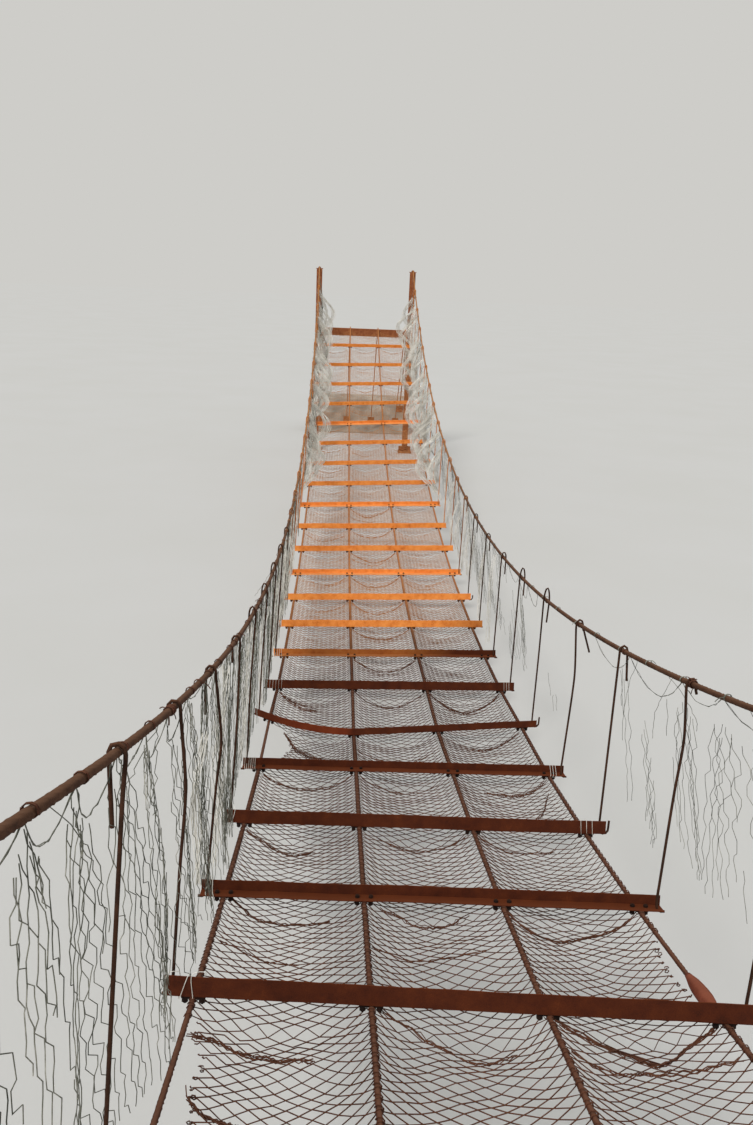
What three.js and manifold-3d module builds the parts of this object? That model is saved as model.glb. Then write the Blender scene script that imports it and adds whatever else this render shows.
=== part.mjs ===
// Wire-rope suspension footbridge: angle-iron crossbeams laid on four deck ropes and hung by bent
// rods from two main cables, with wire nets between the ropes and along the sides.
// Millimetres, +Z up. The walkway runs along Y, the near end is -Y and left is -X.
// The origin is on the ground, in the middle of the bridge.
import * as THREE from "three";
import { mergeVertices } from "three/addons/utils/BufferGeometryUtils.js";
import Module from "manifold-3d";

const wasm = await Module();
wasm.setup();

// Driving dimensions of the span
const BAY = 950;
const BEAM_COUNT = 24;
const HALF_SPAN = ((BEAM_COUNT + 1) * BAY) / 2;
const DECK_LOW = 500;
const DECK_SAG = 2200;
const RAIL_HEIGHT_MIDDLE = 935;
const RAIL_HEIGHT_EXTRA = 287;
const LEAN_ONE_WAVE = 0.0318;
const LEAN_TWO_WAVES = -0.0113;
const LEAN_MIDDLE = 0.0313;

// Crossbeams of rolled angle
const BEAM_LENGTH = 2000;
const LONG_LEG = 70;
const SHORT_LEG = 50;
const ANGLE_THICKNESS = 5;
const HOLE_RADIUS = 12;
const HOLE_X = 976;
const HOLE_OFF_CENTRE = 10;
const LIP_TOWARDS_NEAR_END = [2, 5, 7, 10, 13, 16, 20];
const BENT_BEAM = 8;
const BEND_X = -300;
const BEND_DEPTH = 61;
const BENT_LEFT_RISE = 75;
const BENT_RIGHT_RISE = 22;
const BENT_STATIONS = [-1000, -825, -650, -475, -300];
const SKEWED_BEAM = 4;
const SKEWED_MIDDLE_AHEAD = 17.5;
const SKEWED_END_AHEAD = 37.5;

// Ropes, cables and hanger rods
const DECK_ROPE_X = [-900, -300, 300, 900];
const DECK_ROPE_NAMES = ["left", "inner_left", "inner_right", "right"];
const DECK_ROPE_RADIUS = 10;
const DECK_ROPE_SIDES = 6;
const SEAT_HALF = 40;
const MAIN_RADIUS = 13;
const MAIN_SIDES = 6;
const LEFT_MAIN_X = 945;
const RIGHT_MAIN_X = 1000;
const ROD_RADIUS = 6;
const ROD_SIDES = 5;
const ROD_X = 974;
const HOOK_RADIUS = 17;
const FREE_END = 170;
const FREE_END_SPREAD = 0.15;
const SHORT_FREE_END = 36;
const SHORT_END_LEFT = 4;
const SHORT_END_RIGHT = 5;
const SLID_HOOK = 3;
const SLID_DISTANCE = 220;
const GAP = 0.3;
const ROD_FOOT_DROP = ROD_RADIUS + 0.5;
const ROD_FOOT = [
  [0, 12],
  [4, -4.5],
  [14, -ROD_FOOT_DROP],
  [30, -ROD_FOOT_DROP],
];
const ROD_FOOT_HOOK = [52, 40];
const CROOK_SHARE = 0.45;
const CROOK_SHARE_SPREAD = 0.15;
const CROOK_OUT = 6;
const CROOK_ALONG = 8;
const CROOK_ALONG_SPREAD = 14;
const CORNER_UP = Math.PI / 2;

// Splice sleeve on the right deck rope
const SLEEVE_BEAM = 4;
const SLEEVE_SHARE = 0.2;
const SLEEVE_LENGTH = 270;
const SLEEVE_RADIUS = 28;

// Nets
const NET_THICKNESS = 4;
const NET_EDGE_GAP = 0.6;
const DECK_NET_SAG = 90;
const DECK_NET_END_MARGIN = 100;
const NET_BAND = 20;
const NET_BAND_SHARES = [-0.5, 0, 0.5];
const NET_BAND_INSIDE_EDGE_ROPE = 24;
const NET_BAND_BESIDE_INNER_ROPE = 12;
const DECK_NET_LENGTHS = [
  ["deck_net_near_end", 0, 6],
  ["deck_net_near_middle", 6, 12],
  ["deck_net_far_middle", 12, 18],
  ["deck_net_far_end", 18, 24],
];
const SIDE_NET_END_MARGIN = 120;
const SIDE_NET_COLUMNS = 3;
const SIDE_NET_TOP_DROP = 12;
const SIDE_NET_SCALLOP = 45;
const SIDE_NET_FLARE = 20;
const CLEAR_OF_BEAM = 80;
const TORN_FROM_BEAM = 5.6;
const TORN_TO_BEAM = 8.4;
const TORN_DEPTH = 0.1;
const LEFT_RAGGED = 0.1;
const RIGHT_DEPTH = 0.5;
const RIGHT_RAGGED = 0.38;

// End supports
const POST_SIZE = 120;
const POST_BASE = 300;
const POST_BASE_THICKNESS = 20;
const POST_CAP_LENGTH = 110;
const POST_CAP_WIDTH = 150;
const POST_CAP_THICKNESS = 15;
const SADDLE_HALF = 60;
const CHEEK_HEIGHT = 26;
const CHEEK_THICKNESS = 12;
const CHEEK_SLACK = 2;
const SILL_WIDTH = 100;
const SILL_HEIGHT = 160;
const SEAT_BRACKET = 80;
const BLOCK_START = 2600;
const BLOCK_LENGTH = 1000;
const BLOCK_WIDTH = 2500;
const BLOCK_HEIGHT = 850;
const MAIN_ENTRY_HEIGHT = 640;
const DECK_ENTRY_HEIGHT = 330;
const BURIED_LENGTH = 80;

// Finishes
const rustedAngle = new THREE.MeshStandardMaterial({ color: 0x7a3a18, roughness: 0.9, metalness: 0.3 });
const rustedRope = new THREE.MeshStandardMaterial({ color: 0x5f3f28, roughness: 0.85, metalness: 0.35 });
const rustedNet = new THREE.MeshStandardMaterial({ color: 0x7d4826, roughness: 0.9, metalness: 0.3 });
const greyNet = new THREE.MeshStandardMaterial({ color: 0x8d8a7c, roughness: 0.7, metalness: 0.5 });
const postSteel = new THREE.MeshStandardMaterial({ color: 0x6b3d22, roughness: 0.85, metalness: 0.3 });
const concrete = new THREE.MeshStandardMaterial({ color: 0xa8a49a, roughness: 0.95, metalness: 0 });

const bridge = new THREE.Group();
bridge.name = "suspension_footbridge";

function addPiece(name, geometry, material) {
  const mesh = new THREE.Mesh(geometry, material);
  mesh.name = name;
  bridge.add(mesh);
  return mesh;
}

// Closed triangle mesh to solid, and back
function toSolid(geometry) {
  const bare = geometry.index ? geometry.toNonIndexed() : geometry.clone();
  bare.deleteAttribute("normal");
  bare.deleteAttribute("uv");
  const merged = mergeVertices(bare, 1e-3);
  const mesh = new wasm.Mesh({
    numProp: 3,
    vertProperties: new Float32Array(merged.attributes.position.array),
    triVerts: new Uint32Array(merged.index.array),
  });
  return new wasm.Manifold(mesh);
}

function toGeometry(solid) {
  const mesh = solid.getMesh();
  const geometry = new THREE.BufferGeometry();
  geometry.setAttribute("position", new THREE.BufferAttribute(mesh.vertProperties, 3));
  geometry.setIndex(new THREE.BufferAttribute(mesh.triVerts, 1));
  geometry.computeVertexNormals();
  return geometry;
}

function boxSolid(sizeX, sizeY, sizeZ, x, y, z) {
  return toSolid(new THREE.BoxGeometry(sizeX, sizeY, sizeZ).translate(x, y, z));
}

// The deck: a parabola along Y that leans a little to one side and then to the other
function deckLean(y) {
  const share = y / HALF_SPAN;
  const oneWave = LEAN_ONE_WAVE * Math.sin(Math.PI * share);
  const twoWaves = LEAN_TWO_WAVES * Math.sin(2 * Math.PI * share);
  return oneWave + twoWaves + LEAN_MIDDLE * Math.cos((Math.PI / 2) * share);
}

function beamY(number) {
  return (number - (BEAM_COUNT + 1) / 2) * BAY;
}

function deckHeight(y) {
  return DECK_LOW + DECK_SAG * (y / HALF_SPAN) ** 2;
}

function railHeight(y) {
  return deckHeight(y) + RAIL_HEIGHT_MIDDLE + RAIL_HEIGHT_EXTRA * (y / HALF_SPAN) ** 2;
}

function deckFrame(y) {
  const lean = deckLean(y);
  const slope = Math.atan((2 * DECK_SAG * y) / HALF_SPAN ** 2);
  const across = new THREE.Vector3(Math.cos(lean), 0, Math.sin(lean));
  const along = new THREE.Vector3(0, Math.cos(slope), Math.sin(slope));
  const up = across.clone().cross(along).normalize();
  along.copy(up).cross(across);
  const matrix = new THREE.Matrix4().makeBasis(across, along, up);
  matrix.setPosition(0, y, deckHeight(y));
  return { matrix, across, along, up };
}

function onDeck(frame, x, y, z) {
  return new THREE.Vector3(x, y, z).applyMatrix4(frame.matrix);
}

// The main cables close in on the walkway towards mid-span on the left side
function mainX(side, y) {
  if (side > 0) return RIGHT_MAIN_X;
  return -(LEFT_MAIN_X + (RIGHT_MAIN_X - LEFT_MAIN_X) * (y / HALF_SPAN) ** 4);
}

function cableAtBeam(side, number) {
  const y = beamY(number);
  return new THREE.Vector3(mainX(side, y), y, railHeight(y));
}

function cableAt(side, y) {
  const station = Math.floor(y / BAY + (BEAM_COUNT + 1) / 2);
  const number = THREE.MathUtils.clamp(station, 1, BEAM_COUNT - 1);
  const share = (y - beamY(number)) / BAY;
  return cableAtBeam(side, number).lerp(cableAtBeam(side, number + 1), share);
}

// A path that a section follows through exactly the stations it is given
class StationPath extends THREE.Curve {
  constructor(points, ups = null) {
    super();
    this.points = points;
    this.ups = ups;
  }

  getPointAt(u) {
    return this.points[Math.round(u * (this.points.length - 1))].clone();
  }

  getTangentAt(u) {
    const last = this.points.length - 1;
    const index = Math.round(u * last);
    const before = this.points[Math.max(index - 1, 0)];
    const here = this.points[index];
    const after = this.points[Math.min(index + 1, last)];
    const arriving = here.clone().sub(before).normalize();
    const leaving = after.clone().sub(here).normalize();
    return arriving.add(leaving).normalize();
  }

  computeFrenetFrames(segments, closed) {
    if (!this.ups) return super.computeFrenetFrames(segments, closed);
    const tangents = this.points.map((point, index) => this.getTangentAt(index / segments));
    const normals = tangents.map((tangent, index) => this.ups[index].clone().cross(tangent).normalize());
    const binormals = tangents.map((tangent, index) => tangent.clone().cross(normals[index]));
    return { tangents, normals, binormals };
  }
}

function sweep(outline, points, ups = null) {
  const path = new StationPath(points, ups);
  const shape = new THREE.Shape(outline);
  return new THREE.ExtrudeGeometry(shape, { steps: points.length - 1, extrudePath: path });
}

function roundOutline(radius, sides, start = 0) {
  return Array.from({ length: sides }, (unused, index) => {
    const angle = start + (2 * Math.PI * index) / sides;
    return new THREE.Vector2(radius * Math.cos(angle), radius * Math.sin(angle));
  });
}

// Repeatable irregularity between -1 and 1
function uneven(seed) {
  const wave = Math.sin(seed * 12.9898) * 43758.5453;
  return 2 * (wave - Math.floor(wave)) - 1;
}

// Crossbeams
function leansNear(number) {
  return LIP_TOWARDS_NEAR_END.includes(number);
}

// The wider leg lies flat on the ropes under the near-leaning crossbeams and the bent one
function hasWideFlange(number) {
  return leansNear(number) || number === BENT_BEAM;
}

function angleOutline(number) {
  const half = (hasWideFlange(number) ? LONG_LEG : SHORT_LEG) / 2;
  const height = hasWideFlange(number) ? SHORT_LEG : LONG_LEG;
  const outline = [
    [-half, 0],
    [half, 0],
    [half, ANGLE_THICKNESS],
    [-half + ANGLE_THICKNESS, ANGLE_THICKNESS],
    [-half + ANGLE_THICKNESS, height],
    [-half, height],
  ];
  return outline.map(([y, z]) => new THREE.Vector2(leansNear(number) ? -y : y, z));
}

function bentArmHeight(x) {
  const share = (BEND_X - x) / (BEND_X + BEAM_LENGTH / 2);
  return (BENT_LEFT_RISE + BEND_DEPTH) * share ** 2 - BEND_DEPTH;
}

// How far a crossbeam's underside stands above the plane of the deck ropes
function beamRise(number, x) {
  if (number !== BENT_BEAM) return 0;
  const half = BEAM_LENGTH / 2;
  if (x > BEND_X) return THREE.MathUtils.mapLinear(x, BEND_X, half, -BEND_DEPTH, BENT_RIGHT_RISE);
  const next = Math.max(BENT_STATIONS.findIndex((station) => station >= x), 1);
  const [from, to] = [BENT_STATIONS[next - 1], BENT_STATIONS[next]];
  return THREE.MathUtils.mapLinear(x, from, to, bentArmHeight(from), bentArmHeight(to));
}

// How far along the deck a crossbeam lies from its place
function beamAhead(number, x) {
  if (number !== SKEWED_BEAM) return 0;
  return SKEWED_MIDDLE_AHEAD - (2 * SKEWED_END_AHEAD * x) / BEAM_LENGTH;
}

function crossbeam(number) {
  const frame = deckFrame(beamY(number));
  const half = BEAM_LENGTH / 2;
  const stations = number === BENT_BEAM ? [...BENT_STATIONS, half] : [-half, half];
  const line = stations.map((x) => new THREE.Vector3(x, beamAhead(number, x), beamRise(number, x)));
  const ups = line.map(() => new THREE.Vector3(0, 0, 1));
  let solid = toSolid(sweep(angleOutline(number), line, ups));
  for (const side of [-1, 1]) {
    const x = side * HOLE_X;
    const drill = new THREE.CylinderGeometry(HOLE_RADIUS, HOLE_RADIUS, SHORT_LEG, 8);
    drill.rotateX(Math.PI / 2);
    drill.translate(x, holeY(number) + beamAhead(number, x), beamRise(number, x));
    solid = solid.subtract(toSolid(drill));
  }
  return toGeometry(solid).applyMatrix4(frame.matrix);
}

function holeY(number) {
  return leansNear(number) ? -HOLE_OFF_CENTRE : HOLE_OFF_CENTRE;
}

for (let number = 1; number <= BEAM_COUNT; number++) {
  const name = "crossbeam_" + String(number).padStart(2, "0");
  addPiece(name, crossbeam(number), rustedAngle);
}

// Anchor blocks, which the ropes run into
function anchorBlock(end, grow) {
  const y = end * (HALF_SPAN + BLOCK_START + BLOCK_LENGTH / 2);
  return boxSolid(
    BLOCK_WIDTH + 2 * grow,
    BLOCK_LENGTH + 2 * grow,
    BLOCK_HEIGHT + grow,
    0,
    y,
    (BLOCK_HEIGHT + grow) / 2,
  );
}

function trimAtBlocks(solid) {
  return solid.subtract(anchorBlock(-1, GAP)).subtract(anchorBlock(1, GAP));
}

// A rope from block to block: down in the ground anchors, level over the supports
function withEnds(middle, x, supportHeight, entryHeight) {
  const ends = [-1, 1].map((end) => {
    const face = end * (HALF_SPAN + BLOCK_START);
    const support = new THREE.Vector3(x, end * (HALF_SPAN + SADDLE_HALF), supportHeight);
    const entry = new THREE.Vector3(x, face, entryHeight);
    const buried = entry.clone().add(entry.clone().sub(support).setLength(BURIED_LENGTH));
    const landing = new THREE.Vector3(x, end * (HALF_SPAN - SADDLE_HALF), supportHeight);
    return [buried, support, landing];
  });
  return [...ends[0], ...middle, ...ends[1].reverse()];
}

// Deck ropes, each straight where a crossbeam sits on it
const ropeDrop = DECK_ROPE_RADIUS + GAP;

function seatPoint(number, x, side, drop = 0) {
  const y = beamAhead(number, x) + side * SEAT_HALF;
  return onDeck(deckFrame(beamY(number)), x, y, beamRise(number, x) - ropeDrop - drop);
}

function deckRopePoints(x) {
  const middle = [];
  for (let number = 1; number <= BEAM_COUNT; number++) {
    middle.push(seatPoint(number, x, -1), seatPoint(number, x, 1));
  }
  return withEnds(middle, x, deckHeight(HALF_SPAN) - ropeDrop, DECK_ENTRY_HEIGHT);
}

function sleevePlace() {
  const start = seatPoint(SLEEVE_BEAM, DECK_ROPE_X[3], 1);
  const end = seatPoint(SLEEVE_BEAM + 1, DECK_ROPE_X[3], -1);
  return { middle: start.clone().lerp(end, SLEEVE_SHARE), along: end.sub(start).normalize() };
}

function spliceSleeve() {
  const profile = [
    [0, -0.5],
    [0.4, -0.5],
    [0.85, -0.32],
    [1, -0.1],
    [0.95, 0.15],
    [0.7, 0.36],
    [0.4, 0.5],
    [0, 0.5],
  ];
  const points = profile.map(([r, l]) => new THREE.Vector2(r * SLEEVE_RADIUS, l * SLEEVE_LENGTH));
  const sleeve = new THREE.LatheGeometry(points, 10);
  const place = sleevePlace();
  const turn = new THREE.Quaternion().setFromUnitVectors(new THREE.Vector3(0, 1, 0), place.along);
  sleeve.applyQuaternion(turn);
  return sleeve.translate(place.middle.x, place.middle.y, place.middle.z);
}

DECK_ROPE_NAMES.forEach((name, index) => {
  const outline = roundOutline(DECK_ROPE_RADIUS, DECK_ROPE_SIDES, CORNER_UP);
  let rope = toSolid(sweep(outline, deckRopePoints(DECK_ROPE_X[index])));
  if (name === "right") rope = rope.add(toSolid(spliceSleeve()));
  addPiece("deck_cable_" + name, toGeometry(trimAtBlocks(rope)), rustedRope);
});

// A hanger rod: free end outside, over the cable, down inside, through the crossbeam and turned
// outwards under it. On the right the foot ends in an upright hook.
function rodFoot(number, side) {
  const frame = deckFrame(beamY(number));
  const profile = side > 0 ? [...ROD_FOOT, ROD_FOOT_HOOK] : ROD_FOOT;
  return profile.map(([outwards, z]) => {
    const x = side * (ROD_X + outwards);
    return onDeck(frame, x, holeY(number) + beamAhead(number, x), beamRise(number, x) + z);
  });
}

function freeEndLength(number, side, crook) {
  const short = number === (side < 0 ? SHORT_END_LEFT : SHORT_END_RIGHT);
  return short ? SHORT_FREE_END : FREE_END * (1 + FREE_END_SPREAD * crook);
}

function hangerPoints(number, side) {
  const foot = rodFoot(number, side);
  const slid = side < 0 && number === SLID_HOOK ? SLID_DISTANCE : 0;
  const cable = cableAt(side, foot[0].y + slid);
  const beside = (offset, height) => cable.clone().add(new THREE.Vector3(side * offset, 0, height));
  const crook = uneven(number * 2 + side);
  const middleShare = CROOK_SHARE + CROOK_SHARE_SPREAD * crook;
  const middle = foot[0].clone().lerp(beside(-HOOK_RADIUS, 0), middleShare);
  middle.x += side * CROOK_OUT * crook;
  middle.y += Math.sign(holeY(number)) * (CROOK_ALONG + CROOK_ALONG_SPREAD * Math.abs(crook));
  return [
    beside(HOOK_RADIUS, -freeEndLength(number, side, crook)),
    beside(HOOK_RADIUS, 0),
    beside(0, HOOK_RADIUS),
    beside(-HOOK_RADIUS, 0),
    middle,
    ...foot,
  ];
}

function mainCable(side) {
  const middle = [];
  for (let number = 1; number <= BEAM_COUNT; number++) middle.push(cableAtBeam(side, number));
  const supportX = side * RIGHT_MAIN_X;
  const points = withEnds(middle, supportX, railHeight(HALF_SPAN), MAIN_ENTRY_HEIGHT);
  let solid = toSolid(sweep(roundOutline(MAIN_RADIUS, MAIN_SIDES, CORNER_UP), points));
  for (let number = 1; number <= BEAM_COUNT; number++) {
    const rod = sweep(roundOutline(ROD_RADIUS, ROD_SIDES), hangerPoints(number, side));
    solid = solid.add(toSolid(rod));
  }
  return toGeometry(trimAtBlocks(solid));
}

addPiece("left_main_cable", mainCable(-1), rustedRope);
addPiece("right_main_cable", mainCable(1), rustedRope);

// Deck nets: lengths of chain-link that sag between the deck ropes and pass under the inner two.
// Each is a grid of bands with twelve openings side by side in a bay. The profile lists where the
// bands begin and end across the deck, how far they lie below the ropes' centre lines there, and
// whether the strip that follows is open.
function netProfile() {
  const ropeHalfWidth = DECK_ROPE_RADIUS * Math.cos(Math.PI / DECK_ROPE_SIDES);
  const edge = ropeHalfWidth + NET_EDGE_GAP;
  const last = DECK_ROPE_X.length - 1;
  const profile = [{ x: DECK_ROPE_X[0] + edge, drop: 0, open: false }];
  for (let trough = 0; trough < last; trough++) {
    const [from, to] = [DECK_ROPE_X[trough], DECK_ROPE_X[trough + 1]];
    const [middle, half] = [(from + to) / 2, (to - from) / 2];
    const add = (x, open) => {
      const drop = DECK_NET_SAG * (1 - ((x - middle) / half) ** 2);
      profile.push({ x, drop, open });
    };
    add(from + (trough === 0 ? NET_BAND_INSIDE_EDGE_ROPE : NET_BAND_BESIDE_INNER_ROPE), true);
    for (const share of NET_BAND_SHARES) {
      add(middle + share * half - NET_BAND / 2, false);
      add(middle + share * half + NET_BAND / 2, true);
    }
    add(to - (trough === last - 1 ? NET_BAND_INSIDE_EDGE_ROPE : NET_BAND_BESIDE_INNER_ROPE), false);
    if (trough < last - 1) profile.push({ x: to, drop: DECK_ROPE_RADIUS + NET_EDGE_GAP, open: false });
  }
  return [...profile, { x: DECK_ROPE_X[last] - edge, drop: 0, open: false }];
}

const acrossNet = netProfile();

// A row of the net's upper corners and then its lower ones. place(x, drop) gives a point at a
// distance below the ropes' centre lines.
function netRow(place) {
  const top = acrossNet.map(({ x, drop }) => place(x, drop));
  const bottom = acrossNet.map(({ x, drop }) => place(x, drop + NET_THICKNESS));
  return [...top, ...bottom];
}

function netRowAtBeam(number, side) {
  const pitch = DECK_ROPE_X[1] - DECK_ROPE_X[0];
  const ropes = DECK_ROPE_X.map((x) => beamRise(number, x));
  return netRow((x, drop) => {
    const index = Math.floor((x - DECK_ROPE_X[0]) / pitch);
    const share = (x - DECK_ROPE_X[index]) / pitch;
    const rise = THREE.MathUtils.lerp(ropes[index], ropes[index + 1], share);
    return seatPoint(number, x, side, drop + beamRise(number, x) - rise);
  });
}

function netRowAtSupport(end) {
  const y = end * (HALF_SPAN - SADDLE_HALF);
  const height = deckHeight(HALF_SPAN) - ropeDrop;
  return netRow((x, drop) => new THREE.Vector3(x, y, height - drop));
}

function rowAtY(before, after, y) {
  const share = (y - before[0].y) / (after[0].y - before[0].y);
  return before.map((point, index) => point.clone().lerp(after[index], share));
}

// The closed surface of the bands. A strip of the profile is open where the row is open too.
function bands(rows, rowIsOpen) {
  const across = acrossNet.length;
  const isBand = (row, column) => {
    if (row < 0 || column < 0 || row + 1 >= rows.length || column + 1 >= across) return false;
    return !(rowIsOpen[row] && acrossNet[column].open);
  };
  const top = (row, column) => row * 2 * across + column;
  const bottom = (row, column) => top(row, column) + across;
  const faces = [];
  const quad = (a, b, c, d) => faces.push(a, b, c, a, c, d);
  for (let r = 0; r + 1 < rows.length; r++) {
    for (let c = 0; c + 1 < across; c++) {
      if (!isBand(r, c)) continue;
      quad(top(r, c), top(r, c + 1), top(r + 1, c + 1), top(r + 1, c));
      quad(bottom(r, c), bottom(r + 1, c), bottom(r + 1, c + 1), bottom(r, c + 1));
      if (!isBand(r - 1, c)) quad(bottom(r, c), bottom(r, c + 1), top(r, c + 1), top(r, c));
      if (!isBand(r + 1, c)) quad(bottom(r + 1, c + 1), bottom(r + 1, c), top(r + 1, c), top(r + 1, c + 1));
      if (!isBand(r, c - 1)) quad(bottom(r + 1, c), bottom(r, c), top(r, c), top(r + 1, c));
      if (!isBand(r, c + 1)) quad(bottom(r, c + 1), bottom(r + 1, c + 1), top(r + 1, c + 1), top(r, c + 1));
    }
  }
  const corners = rows.flatMap((row) => row.flatMap((point) => point.toArray()));
  const geometry = new THREE.BufferGeometry();
  geometry.setAttribute("position", new THREE.Float32BufferAttribute(corners, 3));
  geometry.setIndex(faces);
  return geometry;
}

// One length of net, from the bay after one crossbeam to the bay after another
function deckNet(after, until) {
  const joint = (number) => beamY(number) + BAY / 2;
  const margin = HALF_SPAN - DECK_NET_END_MARGIN;
  const before = after > 0 ? netRowAtBeam(after, 1) : netRowAtSupport(-1);
  const beyond = until < BEAM_COUNT ? netRowAtBeam(until + 1, -1) : netRowAtSupport(1);
  const start = after > 0 ? joint(after) + GAP : -margin;
  const end = until < BEAM_COUNT ? joint(until) - GAP : margin;
  const first = netRowAtBeam(after + 1, -1);
  const last = netRowAtBeam(until, 1);
  const rows = [rowAtY(before, first, start), rowAtY(before, first, start + NET_BAND)];
  const rowIsOpen = [false, true];
  for (let number = after + 1; number <= until; number++) {
    rows.push(netRowAtBeam(number, -1), netRowAtBeam(number, 1));
    rowIsOpen.push(false, true);
  }
  rows.push(rowAtY(last, beyond, end - NET_BAND), rowAtY(last, beyond, end));
  rowIsOpen.push(false);
  return toSolid(bands(rows, rowIsOpen));
}

function sleeveRoom() {
  const place = sleevePlace();
  const size = 2 * (SLEEVE_RADIUS + 4);
  return boxSolid(size, SLEEVE_LENGTH + 20, 2 * size, place.middle.x, place.middle.y, place.middle.z);
}

for (const [name, after, until] of DECK_NET_LENGTHS) {
  addPiece(name, toGeometry(deckNet(after, until).subtract(sleeveRoom())), rustedNet);
}

// Side nets: one ragged curtain a side, tied to the free ends of the hanger rods
function curtainDepth(side, column) {
  const station = column / SIDE_NET_COLUMNS;
  const torn = uneven(column * 1.7 + side * 5);
  if (side < 0) return 1 - LEFT_RAGGED * Math.abs(torn);
  if (station > TORN_FROM_BEAM && station < TORN_TO_BEAM) return TORN_DEPTH;
  return RIGHT_DEPTH + RIGHT_RAGGED * torn;
}

function sideNet(side) {
  const end = HALF_SPAN - SIDE_NET_END_MARGIN;
  const columns = (BEAM_COUNT + 1) * SIDE_NET_COLUMNS;
  const curtain = new THREE.BoxGeometry(1, 1, 1, columns, 1, 1);
  const position = curtain.attributes.position;
  for (let index = 0; index < position.count; index++) {
    const column = Math.round((position.getX(index) + 0.5) * columns);
    const y = THREE.MathUtils.clamp(-HALF_SPAN + (column * BAY) / SIDE_NET_COLUMNS, -end, end);
    const share = (column % SIDE_NET_COLUMNS) / SIDE_NET_COLUMNS;
    const droop = SIDE_NET_SCALLOP * Math.sin(Math.PI * share);
    const top = railHeight(y) - SIDE_NET_TOP_DROP - droop;
    const full = railHeight(y) - deckHeight(y) - CLEAR_OF_BEAM;
    const between = share > 0 ? CLEAR_OF_BEAM + 20 * uneven(column) : 0;
    const drop = curtainDepth(side, column) * full + (side < 0 ? between : 0);
    const lifted = side < 0 && column === BENT_BEAM * SIDE_NET_COLUMNS ? BENT_LEFT_RISE : 0;
    const bottom = railHeight(y) - Math.max(drop, SIDE_NET_TOP_DROP + droop + 60) + lifted;
    const face = mainX(side, y) + side * (HOOK_RADIUS + ROD_RADIUS + GAP + NET_THICKNESS / 2);
    const isTop = position.getY(index) > 0;
    const flare = isTop || side > 0 ? 0 : side * SIDE_NET_FLARE;
    const x = face + flare + position.getZ(index) * NET_THICKNESS;
    position.setXYZ(index, x, y, isTop ? top : bottom);
  }
  return curtain;
}

addPiece("side_net_left", sideNet(-1), greyNet);
addPiece("side_net_right", sideNet(1), greyNet);

// End supports: four posts with a cable saddle, and a sill between each pair
const saddleTop = railHeight(HALF_SPAN) - MAIN_RADIUS - GAP;
const sillTop = deckHeight(HALF_SPAN) - 2 * DECK_ROPE_RADIUS - 2 * GAP;

function post(side, end) {
  const x = side * RIGHT_MAIN_X;
  const y = end * HALF_SPAN;
  const shaftHeight = saddleTop - POST_CAP_THICKNESS;
  let solid = boxSolid(POST_SIZE, POST_SIZE, shaftHeight, x, y, shaftHeight / 2);
  solid = solid.add(boxSolid(POST_BASE, POST_BASE, POST_BASE_THICKNESS, x, y, POST_BASE_THICKNESS / 2));
  const capMiddle = saddleTop - POST_CAP_THICKNESS / 2;
  solid = solid.add(boxSolid(POST_CAP_WIDTH, POST_CAP_LENGTH, POST_CAP_THICKNESS, x, y, capMiddle));
  for (const cheek of [-1, 1]) {
    const cheekX = x + cheek * (MAIN_RADIUS + CHEEK_SLACK + CHEEK_THICKNESS / 2);
    const height = CHEEK_HEIGHT + POST_CAP_THICKNESS;
    const cheekZ = saddleTop - POST_CAP_THICKNESS + height / 2;
    solid = solid.add(boxSolid(CHEEK_THICKNESS, POST_CAP_LENGTH, height, cheekX, y, cheekZ));
  }
  const seatX = x - side * (POST_SIZE + SEAT_BRACKET) / 2;
  const seatZ = sillTop - SILL_HEIGHT - GAP - SEAT_BRACKET / 2;
  return solid.add(boxSolid(SEAT_BRACKET, SILL_WIDTH, SEAT_BRACKET, seatX, y, seatZ));
}

for (const end of [-1, 1]) {
  const which = end < 0 ? "near" : "far";
  addPiece(which + "_left_post", toGeometry(post(-1, end)), postSteel);
  addPiece(which + "_right_post", toGeometry(post(1, end)), postSteel);
  const sillLength = 2 * (RIGHT_MAIN_X - POST_SIZE / 2 - GAP);
  const sill = new THREE.BoxGeometry(sillLength, SILL_WIDTH, SILL_HEIGHT);
  sill.translate(0, end * HALF_SPAN, sillTop - SILL_HEIGHT / 2);
  addPiece(which + "_sill_beam", sill, postSteel);
  addPiece(which + "_anchor_block", toGeometry(anchorBlock(end, 0)), concrete);
}

export default bridge;
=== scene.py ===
"""A narrow wire-rope suspension footbridge: rusted angle crossbeams, laid ropes and torn wire nets.

Metres, +Z up. The walkway runs along Y from the near end (-Y) to the far end, and left is -X.
"""
import math
import random

import bmesh
import bpy
import numpy as np
from mathutils import Matrix, Vector, noise


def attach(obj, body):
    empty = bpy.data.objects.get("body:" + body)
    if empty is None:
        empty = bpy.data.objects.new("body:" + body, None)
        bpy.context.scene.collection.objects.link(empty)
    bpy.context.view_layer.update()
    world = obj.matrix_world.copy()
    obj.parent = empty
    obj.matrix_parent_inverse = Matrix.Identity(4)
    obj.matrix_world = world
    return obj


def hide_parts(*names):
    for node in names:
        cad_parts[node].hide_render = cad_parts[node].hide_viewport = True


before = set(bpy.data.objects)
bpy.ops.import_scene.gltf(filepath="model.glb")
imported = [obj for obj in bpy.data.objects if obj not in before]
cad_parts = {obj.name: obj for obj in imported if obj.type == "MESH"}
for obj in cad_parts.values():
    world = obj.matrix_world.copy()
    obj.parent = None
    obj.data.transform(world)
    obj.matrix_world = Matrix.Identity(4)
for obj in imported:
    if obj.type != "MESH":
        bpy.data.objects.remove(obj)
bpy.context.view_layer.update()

# Span
BAY = 0.95
BEAM_COUNT = 24
HALF_SPAN = (BEAM_COUNT + 1) * BAY / 2
DECK_LOW = 0.5
DECK_SAG = 2.2
RAIL_HEIGHT_MIDDLE = 0.935
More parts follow.
